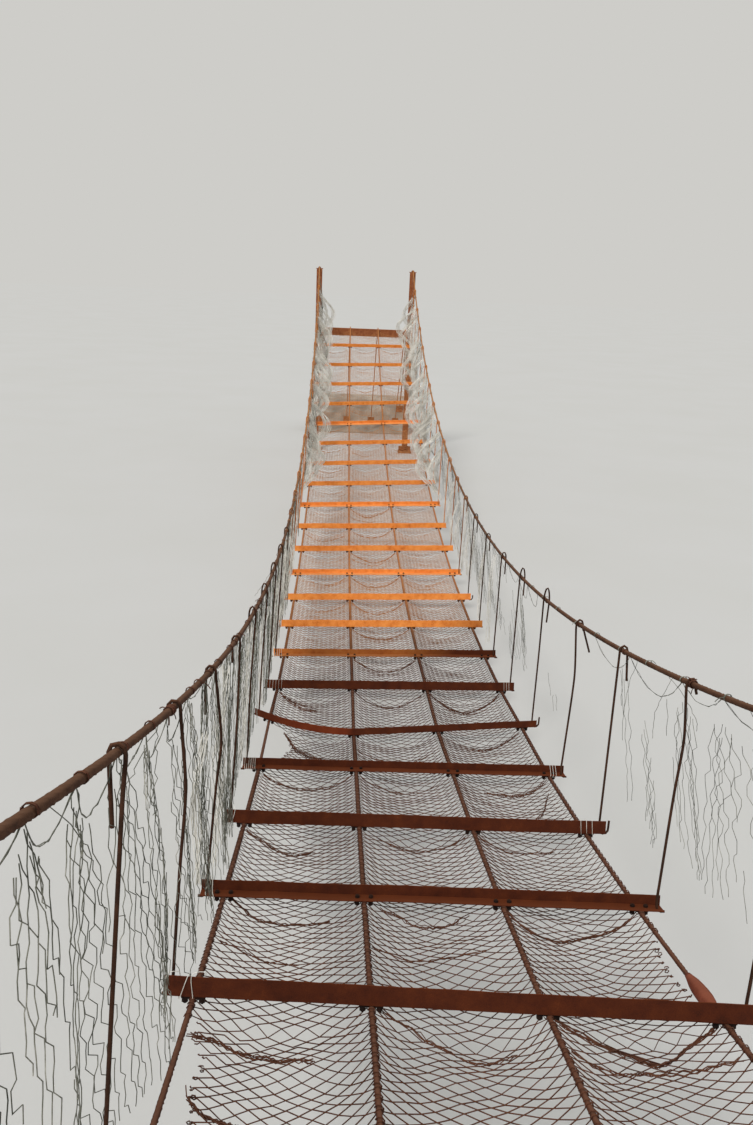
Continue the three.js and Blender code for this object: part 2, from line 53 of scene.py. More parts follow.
RAIL_HEIGHT_EXTRA = 0.287
LEAN_ONE_WAVE = 0.0318
LEAN_TWO_WAVES = -0.0113
LEAN_MIDDLE = 0.0313

# Crossbeams of rolled angle
BEAM_LENGTH = 2.0
LONG_LEG = 0.07
SHORT_LEG = 0.05
ANGLE_THICKNESS = 0.005
TOE_RADIUS = 0.0018
HOLE_OFF_CENTRE = 0.010
LIP_TOWARDS_NEAR_END = (2, 5, 7, 10, 13, 16, 20)
BENT_BEAM = 8
BEND_X = -0.3
BEND_DEPTH = 0.061
BENT_LEFT_RISE = 0.075
BENT_RIGHT_RISE = 0.022
SKEWED_BEAM = 4
SKEWED_MIDDLE_AHEAD = 0.0175
SKEWED_END_AHEAD = 0.0375
BEAM_CUTS = 24
BEAM_WAVE = 0.0016
BEAM_DENT = 0.0009
BEAM_SWAY = 0.004

# Ropes, cables and rods
DECK_ROPE_X = (-0.9, -0.3, 0.3, 0.9)
DECK_ROPE_NODES = ("deck_cable_left", "deck_cable_inner_left", "deck_cable_inner_right", "deck_cable_right")
DECK_ROPE_RADIUS = 0.0105
DECK_GROOVE = 0.84
ROPE_DROP = 0.0103
SEAT_HALF = 0.04
LAY_LENGTH = 0.18
ROPE_STEP = 0.0225
MAIN_CABLE_NODES = {-1: "left_main_cable", 1: "right_main_cable"}
MAIN_RADIUS = 0.013
MAIN_GROOVE = 0.9
MAIN_LAY_LENGTH = 0.27
MAIN_STEP = 0.028
STRANDS = 6
LEFT_MAIN_X = 0.945
RIGHT_MAIN_X = 1.0
ROD_RADIUS = 0.006
ROD_X = 0.974
ROD_STEP = 0.018
ROD_CLEARANCE = 0.0005
ROD_OFFSET = 0.006

# Splice sleeve on the right deck rope
SLEEVE_BEAM = 4
SLEEVE_SHARE = 0.2
SLEEVE_LENGTH = 0.27
SLEEVE_RADIUS = 0.028

# Rope clamps
CLAMP_BAR = (0.082, 0.026, 0.010)
CLAMP_BAR_Z = -0.0065
CLAMP_REACH = 0.029
U_BOLT_RADIUS = 0.0055
U_BOLT_LEG = (-0.030, 0.018)
LOWER_NUT = (-0.0255, -0.0118)
LOWER_NUT_RADIUS = 0.0115
UPPER_NUT = (0.0054, 0.0150)
UPPER_NUT_RADIUS = 0.0105
BOW_WIDTH = 0.0165
BOW_DEPTH = 0.0155
BOW_Z = -0.012
CLAMP_TURN = 0.16
CLAMP_SHIFT = 0.004
SLOPE_SPAN = 0.04

# End supports
POST_SIZE = 0.12
POST_BASE = 0.3
POST_BASE_THICKNESS = 0.02
POST_CAP_LENGTH = 0.11
POST_CAP_WIDTH = 0.15
POST_CAP_THICKNESS = 0.015
CHEEK = (0.012, POST_CAP_LENGTH, 0.041)
CHEEK_OFF_CENTRE = 0.021
CHEEK_RISE = 0.0055
GUSSET_THICKNESS = 0.012
GUSSET_LENGTH = 0.26
GUSSET_HEIGHT = 0.12
GUSSET_Z = 0.08
GUSSET_OFF_CENTRE = 0.03
FOOT_BOLT_OFF_CENTRE = 0.12
FOOT_NUT = (0.019, 0.037)
FOOT_NUT_RADIUS = 0.018
FOOT_STUD = (0.003, 0.053)
FOOT_STUD_RADIUS = 0.01
SADDLE_HALF = 0.06
SILL_WIDTH = 0.1
SILL_HEIGHT = 0.16
SILL_ROPE_DIAMETER = 0.020
SEAT_BRACKET = 0.08
BLOCK_START = 2.6
BLOCK_LENGTH = 1.0
BLOCK_WIDTH = 2.5
BLOCK_HEIGHT = 0.85
MAIN_ENTRY_HEIGHT = 0.64
DECK_ENTRY_HEIGHT = 0.33
BEARING_PLATE = (0.16, 0.012, 0.16)
BEARING_PLATE_OUT = 0.0065
GAP = 0.0003

# Deck nets and gathered net
DECK_WIRE_RADIUS = 0.0024
GATHER_WIRE_RADIUS = 0.0022
DIAMOND_WIDTH = 0.084
DIAMOND_LENGTH = 0.0575
DECK_NET_END = HALF_SPAN - 0.13
DECK_NET_JOINT = 5.7
FAR_GATHERS_START = 10
DEEP_GATHERS_END = 17

# Side nets and their wires
LEFT_WIRE_RADIUS = 0.00144
RIGHT_WIRE_RADIUS = 0.0012
BUNCH_WIRE_RADIUS = 0.0018
SLUMPED_WIRE_RADIUS = 0.00252
BEAM_WIRE_RADIUS = 0.0012
TIE_RADIUS = 0.0019
LIGHT_TIE_RADIUS = 0.0016
TIE_PITCH = 0.006
FIRST_TIE = HALF_SPAN - 0.16
LAST_TIE = HALF_SPAN - 0.15
SIDE_NET_END = HALF_SPAN - 0.17
SIDE_NET_LIMIT = 1.22
BUNCH_FOOT_X = 0.985
LEFT_SPACING = 0.037
DENSE_SPACING = 0.029
DENSE_START = 4.6
DENSE_END = 14
RIGHT_SPACING = 0.05
BARE_START = 6.3
BARE_END = 8.3
THIN_END = 9.7
SLUMP_START = 3.0
SHORTEST_WIRE = 4


# The deck's curve and lean, as the frame has them
def beam_y(number):
    """Where a crossbeam lies along the bridge; a fraction lies between two of them."""
    return (number - (BEAM_COUNT + 1) / 2) * BAY


def station_at(y):
    """Crossbeam number, with fractions, at a distance along the bridge."""
    return y / BAY + (BEAM_COUNT + 1) / 2


def deck_height(y):
    return DECK_LOW + DECK_SAG * (y / HALF_SPAN) ** 2


def rail_height(y):
    """The height of the main cables, which are the handrails."""
    return deck_height(y) + RAIL_HEIGHT_MIDDLE + RAIL_HEIGHT_EXTRA * (y / HALF_SPAN) ** 2


def deck_lean(y):
    """How far the deck leans to one side, in radians."""
    share = y / HALF_SPAN
    waves = LEAN_ONE_WAVE * math.sin(math.pi * share) + LEAN_TWO_WAVES * math.sin(2 * math.pi * share)
    return waves + LEAN_MIDDLE * math.cos(math.pi / 2 * share)


def deck_matrix(y):
    """Across, along and up at one place on the deck, with the origin under the crossbeams."""
    lean = deck_lean(y)
    slope = math.atan(2 * DECK_SAG * y / HALF_SPAN**2)
    across = Vector((math.cos(lean), 0, math.sin(lean)))
    along = Vector((0, math.cos(slope), math.sin(slope)))
    up = across.cross(along).normalized()
    along = up.cross(across)
    matrix = Matrix((across, along, up)).transposed().to_4x4()
    matrix.translation = (0, y, deck_height(y))
    return matrix


def main_x(side, y):
    """The left cable hangs further in than its posts."""
    if side > 0:
        return RIGHT_MAIN_X
    return -(LEFT_MAIN_X + (RIGHT_MAIN_X - LEFT_MAIN_X) * (y / HALF_SPAN) ** 4)


def lip_is_near(number):
    """Whether the angle's flat leg points to the near end from its upright one."""
    return number in LIP_TOWARDS_NEAR_END


def flange_and_leg(number):
    """The widths of the leg that lies flat on the ropes and of the upright one."""
    wide = lip_is_near(number) or number == BENT_BEAM
    return (LONG_LEG, SHORT_LEG) if wide else (SHORT_LEG, LONG_LEG)


def beam_rise(number, x):
    """How far a crossbeam's underside stands above the plane of the deck ropes: only one is bent."""
    if number != BENT_BEAM:
        return 0.0
    half = BEAM_LENGTH / 2
    if x > BEND_X:
        return (BENT_RIGHT_RISE + BEND_DEPTH) * (x - BEND_X) / (half - BEND_X) - BEND_DEPTH
    return (BENT_LEFT_RISE + BEND_DEPTH) * ((BEND_X - x) / (BEND_X + half)) ** 2 - BEND_DEPTH


def beam_ahead(number, x):
    """How far a crossbeam lies ahead of its place: only one is skewed."""
    return SKEWED_MIDDLE_AHEAD - SKEWED_END_AHEAD * x if number == SKEWED_BEAM else 0.0


def on_beam(number, x, y, z):
    """A point given from the underside of a crossbeam."""
    local = Vector((x, y + beam_ahead(number, x), z + beam_rise(number, x)))
    return deck_matrix(beam_y(number)) @ local


def main_point(side, y):
    """The centre of a main cable, straight from crossbeam to crossbeam."""
    station = station_at(y)
    number = min(max(math.floor(station), 0), BEAM_COUNT)
    ends = [(main_x(side, at), at, rail_height(at)) for at in (beam_y(number), beam_y(number + 1))]
    return Vector(ends[0]).lerp(Vector(ends[1]), station - number)


def ripple(x, y, z=0.0):
    """Smooth irregularity between about -1 and 1."""
    return noise.noise(Vector((x, y, z))) * 1.6


# Pieces
def add_piece(name, mesh, finish, stands_for=(), smooth=True):
    mesh.materials.clear()
    mesh.materials.append(finish)
    if smooth:
        mesh.shade_smooth()
    piece = bpy.data.objects.new(name, mesh)
    bpy.context.scene.collection.objects.link(piece)
    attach(piece, "root")
    if stands_for:
        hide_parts(*stands_for)
    return piece


def mesh_of(bm, name):
    mesh = bpy.data.meshes.new(name)
    bm.to_mesh(mesh)
    bm.free()
    return mesh


def bevelled_box(bm, size, centre, width=0.003, segments=2):
    place = Matrix.Translation(centre) @ Matrix.Diagonal((*size, 1))
    made = bmesh.ops.create_cube(bm, size=1, matrix=place)["verts"]
    edges = list(dict.fromkeys(edge for vert in made for edge in vert.link_edges))
    bmesh.ops.bevel(bm, geom=edges, offset=width, segments=segments, profile=0.5, affect="EDGES", material=-1)


def upright_bar(bm, radius, place, low, high, segments=8):
    """A round bar, or a nut where it has six sides, between two heights."""
    centre = Matrix.Translation((*place, (low + high) / 2))
    size = {"radius1": radius, "radius2": radius, "depth": high - low}
    bmesh.ops.create_cone(bm, cap_ends=True, segments=segments, matrix=centre, **size)


def even_steps(count):
    """Equal steps from 0 to 1."""
    return [index / count for index in range(count + 1)]


def face_out(mesh):
    """Turns a closed mesh whose faces point inwards."""
    bm = bmesh.new()
    bm.from_mesh(mesh)
    if bm.calc_volume(signed=True) < 0:
        bmesh.ops.reverse_faces(bm, faces=bm.faces[:])
        bm.to_mesh(mesh)
    bm.free()
    return mesh


def smooth_route(points, step):
    """Equal steps along a centripetal spline through the points."""
    knots = [Vector(point) for point in points]
    knots = [knots[0] * 2 - knots[1]] + knots + [knots[-1] * 2 - knots[-2]]
    dense = []
    for a, b, c, d in zip(knots, knots[1:], knots[2:], knots[3:]):
        t1 = math.sqrt((b - a).length)
        t2 = t1 + math.sqrt((c - b).length)
        t3 = t2 + math.sqrt((d - c).length)
        count = max(2, math.ceil((c - b).length / step))
        for index in range(count):
            t = t1 + (t2 - t1) * index / count
            ab = a.lerp(b, t / t1)
            bc = b.lerp(c, (t - t1) / (t2 - t1))
            cd = c.lerp(d, (t - t2) / (t3 - t2))
            abc = ab.lerp(bc, t / t2)
            bcd = bc.lerp(cd, (t - t1) / (t3 - t1))
            dense.append(abc.lerp(bcd, (t - t1) / (t2 - t1)))
    dense.append(knots[-2])
    route = np.array([tuple(point) for point in dense])
    lengths = np.concatenate([[0.0], np.cumsum(np.linalg.norm(np.diff(route, axis=0), axis=1))])
    count = max(2, round(lengths[-1] / step))
    stations = np.linspace(0.0, lengths[-1], count + 1)
    return np.stack([np.interp(stations, lengths, route[:, axis]) for axis in range(3)], axis=1)


def section_curve(radii):
    """A closed outline with one corner for each radius."""
    curve = bpy.data.curves.new("section", "CURVE")
    curve.dimensions = "2D"
    spline = curve.splines.new("POLY")
    spline.points.add(len(radii) - 1)
    spline.use_cyclic_u = True
    for index, radius in enumerate(radii):
        angle = 2 * math.pi * index / len(radii)
        spline.points[index].co = (radius * math.cos(angle), radius * math.sin(angle), 0, 1)
    section = bpy.data.objects.new("section", curve)
    bpy.context.scene.collection.objects.link(section)
    return section


def drawn_mesh(name, routes, radii, lay=0.0, step=0.0):
    """A closed mesh of one section drawn along each route, turned once in each lay length."""
    section = section_curve(radii)
    curve = bpy.data.curves.new(name, "CURVE")
    curve.dimensions = "3D"
    curve.twist_mode = "MINIMUM"
    curve.bevel_mode = "OBJECT"
    curve.bevel_object = section
    curve.use_fill_caps = True
    for route in routes:
        spline = curve.splines.new("POLY")
        count = len(route)
        spline.points.add(count - 1)
        corners = np.ones((count, 4))
        corners[:, :3] = route
        spline.points.foreach_set("co", corners.ravel())
        if lay:
            spline.points.foreach_set("tilt", np.arange(count) * step / lay * 2 * math.pi)
    holder = bpy.data.objects.new(name, curve)
    bpy.context.scene.collection.objects.link(holder)
    depsgraph = bpy.context.evaluated_depsgraph_get()
    mesh = bpy.data.meshes.new_from_object(holder.evaluated_get(depsgraph), depsgraph=depsgraph)
    for used in (holder, section):
        data = used.data
        bpy.data.objects.remove(used)
        bpy.data.curves.remove(data)
    mesh.name = name
    return face_out(mesh)


def wire_mesh(name, routes, radius, sides=3):
    return drawn_mesh(name, routes, [radius] * sides)


# Finishes
def linear(hex_colour):
    """An sRGB hex colour as linear values with alpha."""
    channels = [int(hex_colour[index : index + 2], 16) / 255 for index in (1, 3, 5)]
    bent = [c / 12.92 if c <= 0.04045 else ((c + 0.055) / 1.055) ** 2.4 for c in channels]
    return (*bent, 1.0)


def add_node(tree, kind, settings=None, inputs=None, stops=()):
    """One node with its settings. An input is a value or a socket to link from, and stops are a ramp's."""
    node = tree.nodes.new(kind)
    for name, value in (settings or {}).items():
        setattr(node, name, value)
    for name, value in (inputs or {}).items():
        socket = node.inputs[name]
        if isinstance(value, bpy.types.NodeSocket):
            tree.links.new(value, socket)
        else:
            socket.default_value = value
    if stops:
        elements = node.color_ramp.elements
        while len(elements) < len(stops):
            elements.new(0.5)
        for element, (position, colour) in zip(elements, stops):
            element.position = position
            element.color = linear(colour)
    return node


def new_finish(name, look, *args, **values):
    """A finish of one shader. The look makes the nodes before it and gives its inputs."""
    finish = bpy.data.materials.new(name)
    finish.use_nodes = True
    tree = finish.node_tree
    tree.nodes.clear()
    shader = add_node(tree, "ShaderNodeBsdfPrincipled", {}, look(tree, *args, **values))
    add_node(tree, "ShaderNodeOutputMaterial", {}, {"Surface": shader.outputs[0]})
    return finish


def grain(tree, size_mm, detail, stretch=(1, 1, 1)):
    """A pattern whose features are about size_mm across."""
    place = add_node(tree, "ShaderNodeTexCoord")
    mapping = add_node(tree, "ShaderNodeMapping", {}, {"Vector": place.outputs["Object"], "Scale": stretch})
    values = {"Vector": mapping.outputs[0], "Scale": 1000 / size_mm, "Detail": detail, "Roughness": 0.6}
    return add_node(tree, "ShaderNodeTexNoise", {}, values).outputs["Fac"]


def layered(tree, *layers):
    """Patterns added up, each by its weight."""
    total = 0.0
    for pattern, weight in layers:
        values = {0: pattern, 1: weight, 2: total}
        total = add_node(tree, "ShaderNodeMath", {"operation": "MULTIPLY_ADD"}, values).outputs[0]
    return total


def painted_sunlight_ramp(tree, start, stop, steps, slant):
    """Painted sunlight: 0 on the near part of the bridge, in painted shade, and 1 on the far, sunlit orange
    part; the left side changes first.
    """
    place = add_node(tree, "ShaderNodeTexCoord")
    axes = add_node(tree, "ShaderNodeSeparateXYZ", {}, {"Vector": place.outputs["Object"]})
    line = layered(tree, (axes.outputs["Y"], 1.0), (axes.outputs["X"], -slant))
    limits = {"Value": line, "From Min": start, "From Max": stop}
    share = add_node(tree, "ShaderNodeMapRange", {}, limits).outputs["Result"]
    return add_node(tree, "ShaderNodeValToRGB", {}, {"Fac": share}, steps).outputs["Color"]


def upward(tree):
    """How far a surface faces up, which sets the painted highlight on level faces: from 0 on a steep one to
    just over a half on a level one.
    """
    surface = add_node(tree, "ShaderNodeNewGeometry")
    axes = add_node(tree, "ShaderNodeSeparateXYZ", {}, {"Vector": surface.outputs["Normal"]})
    limits = {"Value": axes.outputs["Z"], "From Min": 0.35, "From Max": 0.95, "To Max": 0.55}
    share = add_node(tree, "ShaderNodeMapRange", {"interpolation_type": "SMOOTHSTEP"}, limits)
    return share.outputs["Result"]


BLACK_TO_WHITE = ((0.0, "#000000"), (1.0, "#ffffff"))
TONE_POSITIONS = (0.4, 0.56, 0.74, 0.92)


def rusted(
    tree, shade_tones, sun_tones, pit_mm, metallic=0.2, bump_mm=0.3, change=(-2.7, -2.0), steps=BLACK_TO_WHITE, slant=0.5
):
    """Steel rusted all over, with no shine: blotches of dark scale and bright bloom, and a painted highlight
    where level.

    Four painted-shade and four painted-sunlight tones go from dark to bright, and change says where along the
    bridge the painted shade of the near part gives way to the painted sunlight of the far part. Real pits are
    below a millimetre; pit_mm is as coarse as they need to show.
    """
    blotches = grain(tree, 60, 6.0)
    specks = grain(tree, pit_mm, 3.0)
    broad = grain(tree, 420, 2.0)
    tone = layered(tree, (specks, 0.45), (blotches, 0.6), (broad, 0.2))
    height = layered(tree, (blotches, 1.0), (specks, 0.6))
    shade_stops = list(zip(TONE_POSITIONS, shade_tones))
    sun_stops = list(zip(TONE_POSITIONS, sun_tones))
    painted_shade_colour = add_node(tree, "ShaderNodeValToRGB", {}, {"Fac": tone}, shade_stops).outputs["Color"]
    painted_sun_colour = add_node(tree, "ShaderNodeValToRGB", {}, {"Fac": tone}, sun_stops).outputs["Color"]
    painted_sun_share = painted_sunlight_ramp(tree, *change, steps, slant)
    # A colour Mix has its factor at input 0, its two colours at 6 and 7, and gives its colour at output 2.
    # Lit and shaded copies of one rust: the painted shade of the near part mixed into the painted sunlight of
    # the far part.
    steep_tones = {0: painted_sun_share, 6: painted_shade_colour, 7: painted_sun_colour}
    steep = add_node(tree, "ShaderNodeMix", {"data_type": "RGBA"}, steep_tones)
    # Level faces take the brightest tone as a painted highlight, standing in for light falling on them from
    # above.
    top_highlight_tones = {0: painted_sun_share, 6: linear(shade_tones[-1]), 7: linear(sun_tones[-1])}
    level = add_node(tree, "ShaderNodeMix", {"data_type": "RGBA"}, top_highlight_tones)
    both = {0: upward(tree), 6: steep.outputs[2], 7: level.outputs[2]}
    colour = add_node(tree, "ShaderNodeMix", {"data_type": "RGBA"}, both)
    relief = {"Strength": 0.7, "Distance": bump_mm / 1000, "Height": height}
    bump = add_node(tree, "ShaderNodeBump", {}, relief)
    return {
        "Base Color": colour.outputs[2],
        "Metallic": metallic,
        "Roughness": 0.85,
        "Specular IOR Level": 0.2,
        "Normal": bump.outputs[0],
    }


def galvanised(tree, tones, metallic):
    """Galvanised wire gone dull: white zinc bloom in patches, with bare dark and brown stretches between; the
    pale patches also stand in as painted highlights along the wires.
    """
    tone = layered(tree, (grain(tree, 240, 5.0), 1.0), (grain(tree, 25, 3.0), 0.5))
    stops = list(zip((0.6, 0.72, 0.86, 0.98), tones))
    colour = add_node(tree, "ShaderNodeValToRGB", {}, {"Fac": tone}, stops).outputs["Color"]
    return {"Base Color": colour, "Metallic": metallic, "Roughness": 0.55}


def board_cast(tree):
    """Concrete cast against boards: pale and chalky, with clouds, faint level board lines and pores.

    Real pores are a millimetre or two wide, and these are 5 mm so that they show.
    """
    clouds = grain(tree, 350, 6.0)
    pores = grain(tree, 5, 2.0)
    boards = grain(tree, 120, 2.0, (0.05, 0.05, 1.0))
    tone = layered(tree, (clouds, 1.0), (pores, 0.3), (boards, 0.3))
    stops = ((0.55, "#77736a"), (0.75, "#918d84"), (0.9, "#a8a49b"), (1.0, "#b6b2a8"))
    colour = add_node(tree, "ShaderNodeValToRGB", {}, {"Fac": tone}, stops).outputs["Color"]
    bump = add_node(tree, "ShaderNodeBump", {}, {"Strength": 0.6, "Distance": 0.003, "Height": tone})
    return {"Base Color": colour, "Roughness": 0.92, "Normal": bump.outputs[0]}


def matt_grey(tree):
    """A floor with no shine at all, which comes out at the same tone as the studio behind it."""
    clouds = grain(tree, 2500, 2.0)
    stops = ((0.3, "#c2c4c5"), (0.7, "#c4c6c8"))
    colour = add_node(tree, "ShaderNodeValToRGB", {}, {"Fac": clouds}, stops).outputs["Color"]
    return {"Base Color": colour, "Roughness": 1.0, "Specular IOR Level": 0.0}


# Painted-shade tones of the angles, and painted-sunlight tones of the ropes and the sleeve.
ANGLE_SHADE_TONES = ("#301408", "#451c0b", "#53250e", "#6f3719")
ROPE_SUN_TONES = ("#77401f", "#a05a2e", "#bd7642", "#d09a66")

# Rolled steel angle: flat faces that read dark brown in the painted shade of the near part, and glowing
# orange in the painted sunlight of the far part.
beam_rust = new_finish(
    "rolled_angle_rust",
    rusted,
    ANGLE_SHADE_TONES,
    ("#b35a23", "#e4873d", "#f4a052", "#dc9a60"),
    4.0,
    metallic=0.15,
    bump_mm=0.6,
    change=(-2.66, -1.72),
    steps=((0.0, "#000000"), (0.26, "#9a9a9a"), (0.68, "#9a9a9a"), (1.0, "#ffffff")),
)
# The bent angle: its lifted left third shows a redder, lighter face, painted light where that tilted face
# turns to the light.
bent_rust = new_finish(
    "bent_angle_rust",
    rusted,
    ANGLE_SHADE_TONES,
    ("#60240f", "#702e14", "#7e381c", "#924a2a"),
    4.0,
    metallic=0.15,
    bump_mm=0.6,
    change=(-3.72, -2.27),
    steps=((0.0, "#000000"), (0.1, "#ffffff"), (0.6, "#d0d0d0"), (0.9, "#404040")),
    slant=2.0,
)
# Laid rope of drawn steel wire: greyer brown than the angles, with a little bare metal on its crowns, dark in
# the painted shade of the near part and orange in the painted sunlight of the far part.
rope_rust = new_finish(
    "laid_wire_rope_rust",
    rusted,
    ("#321c14", "#4c2c20", "#643f30", "#7b5643"),
    ROPE_SUN_TONES,
    3.0,
    metallic=0.25,
    change=(-2.4, 0.6),
)
# Swaged steel sleeve: one smooth, evenly rusted skin, a little redder than the rope; it lies in the painted
# shade of the near part.
sleeve_rust = new_finish(
    "splice_sleeve_rust",
    rusted,
    ("#4a2015", "#6a3323", "#824431", "#925641"),
    ROPE_SUN_TONES,
    4.0,
    metallic=0.15,
    bump_mm=0.6,
)
# Handrail rope: duller than the deck ropes, nearer to grey brown in painted shade, and that painted shade
# lasts past mid-span before painted sunlight turns it orange.
cable_rust = new_finish(
    "main_cable_rust",
    rusted,
    ("#2d1a11", "#4a2e1f", "#60412e", "#785742"),
    ("#5f371f", "#88522d", "#a87040", "#c29464"),
    3.0,
    metallic=0.25,
    change=(-0.5, 3.5),
)
# Round steel bar: thin dark lines, almost black in the painted shade of the near part, and orange only in the
# painted sunlight of the far part.
bar_rust = new_finish(
    "round_bar_rust",
    rusted,
    ("#20130c", "#332117", "#4a2f21", "#6b4632"),
    ("#8f4a22", "#ba6c32", "#d28c4c", "#dfaa70"),
    3.0,
    change=(-1.0, 2.0),
)
# Woven iron wire: its zinc has gone, and it reads as brown lines with paler stretches, dark in the painted
# shade of the near part and lighter in the painted sunlight of the far part.
net_rust = new_finish(
    "chain_link_rust",
    rusted,
    ("#2a1812", "#43271d", "#5a3628", "#76503d"),
    ("#7a4823", "#9f6434", "#bd804c", "#d0a074"),
    12.0,
    bump_mm=0.2,
    change=(-2.6, -0.6),
)
# Forged clamps: black scale, the darkest spots below each crossbeam, a little paler in the painted sunlight
# of the far part.
clamp_rust = new_finish(
    "clamp_forging_rust",
    rusted,
    ("#120b09", "#1d120e", "#2a1a14", "#40281c"),
    ("#2e1a10", "#482a18", "#6a3f24", "#8a5834"),
    3.0,
    bump_mm=0.4,
)
# Welded box posts and sills: coarse, even, weathered rust with the deepest pits, in painted shade at the near
# end and painted sunlight at the far end.
post_rust = new_finish(
    "post_section_rust",
    rusted,
    ("#371d12", "#532c1a", "#6c3d24", "#895637"),
    ("#5f3320", "#80482b", "#9a603c", "#b1805a"),
    5.0,
    metallic=0.15,
    bump_mm=0.8,
)
# Drawn galvanised wire of the side nets: grey green, with a weak gleam of metal left, and pale patches that
# are partly zinc bloom and partly painted highlights.
zinc_wire = new_finish("dull_zinc_wire", galvanised, ("#3a3c34", "#5d5f54", "#87877d", "#bab9b0"), 0.35)
# The same wire covered in white zinc salts: chalky and bright, with no gleam.
white_wire = new_finish("bleached_zinc_wire", galvanised, ("#b5b2a9", "#d6d4cc", "#efeee9", "#fbfaf7"), 0.05)
# Anchor blocks: pale grey, the one surface that isn't rusty.
concrete = new_finish("board_cast_concrete", board_cast)


# Crossbeams
def angle_mesh(number):
    """A rolled angle: two thin legs with rounded edges, a little wavy from wear."""
    flange, height = flange_and_leg(number)
    half = flange / 2
    flip = -1 if lip_is_near(number) else 1
    outline = (
        (-half, 0),
        (half, 0),
        (half, ANGLE_THICKNESS),
        (-half + ANGLE_THICKNESS, ANGLE_THICKNESS),
        (-half + ANGLE_THICKNESS, height),
        (-half, height),
    )
    bm = bmesh.new()
    corners = [bm.verts.new((-BEAM_LENGTH / 2, flip * y, z)) for y, z in outline]
    profile = bm.faces.new(corners)
    drawn = bmesh.ops.extrude_face_region(bm, geom=[profile])["geom"]
    moved = [item for item in drawn if isinstance(item, bmesh.types.BMVert)]
    bmesh.ops.translate(bm, verts=moved, vec=(BEAM_LENGTH, 0, 0))
    bmesh.ops.recalc_face_normals(bm, faces=bm.faces[:])
    toes = long_edges(bm)
    bmesh.ops.bevel(bm, geom=toes, offset=TOE_RADIUS, segments=2, profile=0.5, affect="EDGES", material=-1)
    bmesh.ops.subdivide_edges(bm, edges=long_edges(bm), cuts=BEAM_CUTS, use_grid_fill=True)
    for vert in bm.verts:
        x, y, z = vert.co
        seed = number * 7.3
        wave = ripple(x * 3.1, seed) * BEAM_WAVE
        dent = ripple(x * 14, z * 12, seed) * BEAM_DENT
        sway = ripple(x * 0.8, seed + 40) * BEAM_SWAY
        vert.co = on_beam(number, x, y + wave + dent * 1.5 + sway, z + dent + wave * 0.5)
    return mesh_of(bm, "angle")


def long_edges(bm):
    """The edges that run the whole length of the angle."""
    return [edge for edge in bm.edges if edge.calc_length() > BEAM_LENGTH * 0.9]


def add_crossbeams():
    for number in range(1, BEAM_COUNT + 1):
        name = f"crossbeam_{number:02d}"
        finish = bent_rust if number == BENT_BEAM else beam_rust
        add_piece("rolled_" + name, angle_mesh(number), finish, (name,), smooth=False)


# Ropes
def rope_with_ends(middle, x, support_height, entry_height):
    """Adds what lies over the supports and down to the faces of the anchor blocks."""
    ends = []
    for end in (-1, 1):
        face = Vector((x, end * (HALF_SPAN + BLOCK_START), entry_height))
        outer = Vector((x, end * (HALF_SPAN + SADDLE_HALF), support_height))
        inner = Vector((x, end * (HALF_SPAN - SADDLE_HALF), support_height))
        ends.append([face, face.lerp(outer, 0.5), outer, inner])
    return ends[0] + middle + ends[1][::-1]


def deck_rope_points(x):
    middle = []
    for number in range(1, BEAM_COUNT + 1):
        middle += [on_beam(number, x, -SEAT_HALF, -ROPE_DROP), on_beam(number, x, SEAT_HALF, -ROPE_DROP)]
    return rope_with_ends(middle, x, deck_height(HALF_SPAN) - ROPE_DROP, DECK_ENTRY_HEIGHT)


ROPE_LINES = {x: np.array([tuple(point) for point in deck_rope_points(x)]).T for x in DECK_ROPE_X}


def rope_point(x, y):
    """The centre of a deck rope at a distance along the bridge."""
    across, along, height = ROPE_LINES[x]
    return Vector((np.interp(y, along, across), y, np.interp(y, along, height)))


def main_cable_points(side):
    middle = [main_point(side, beam_y(number)) for number in range(1, BEAM_COUNT + 1)]
    return rope_with_ends(middle, side * RIGHT_MAIN_X, rail_height(HALF_SPAN), MAIN_ENTRY_HEIGHT)


def laid_rope(name, points, radius, groove, lay, step):
    """Strands laid round each other, with a groove between them."""
    lobes = [radius, radius * groove] * STRANDS
    return drawn_mesh(name, [smooth_route(points, step)], lobes, lay, step)


def add_ropes():
    for x, node in zip(DECK_ROPE_X, DECK_ROPE_NODES):
        mesh = laid_rope(node, deck_rope_points(x), DECK_ROPE_RADIUS, DECK_GROOVE, LAY_LENGTH, ROPE_STEP)
        add_piece("laid_" + node, mesh, rope_rust, (node,))
    for side, node in MAIN_CABLE_NODES.items():
        points = main_cable_points(side)
        mesh = laid_rope(node, points, MAIN_RADIUS, MAIN_GROOVE, MAIN_LAY_LENGTH, MAIN_STEP)
        add_piece("laid_" + node, mesh, cable_rust, (node,))


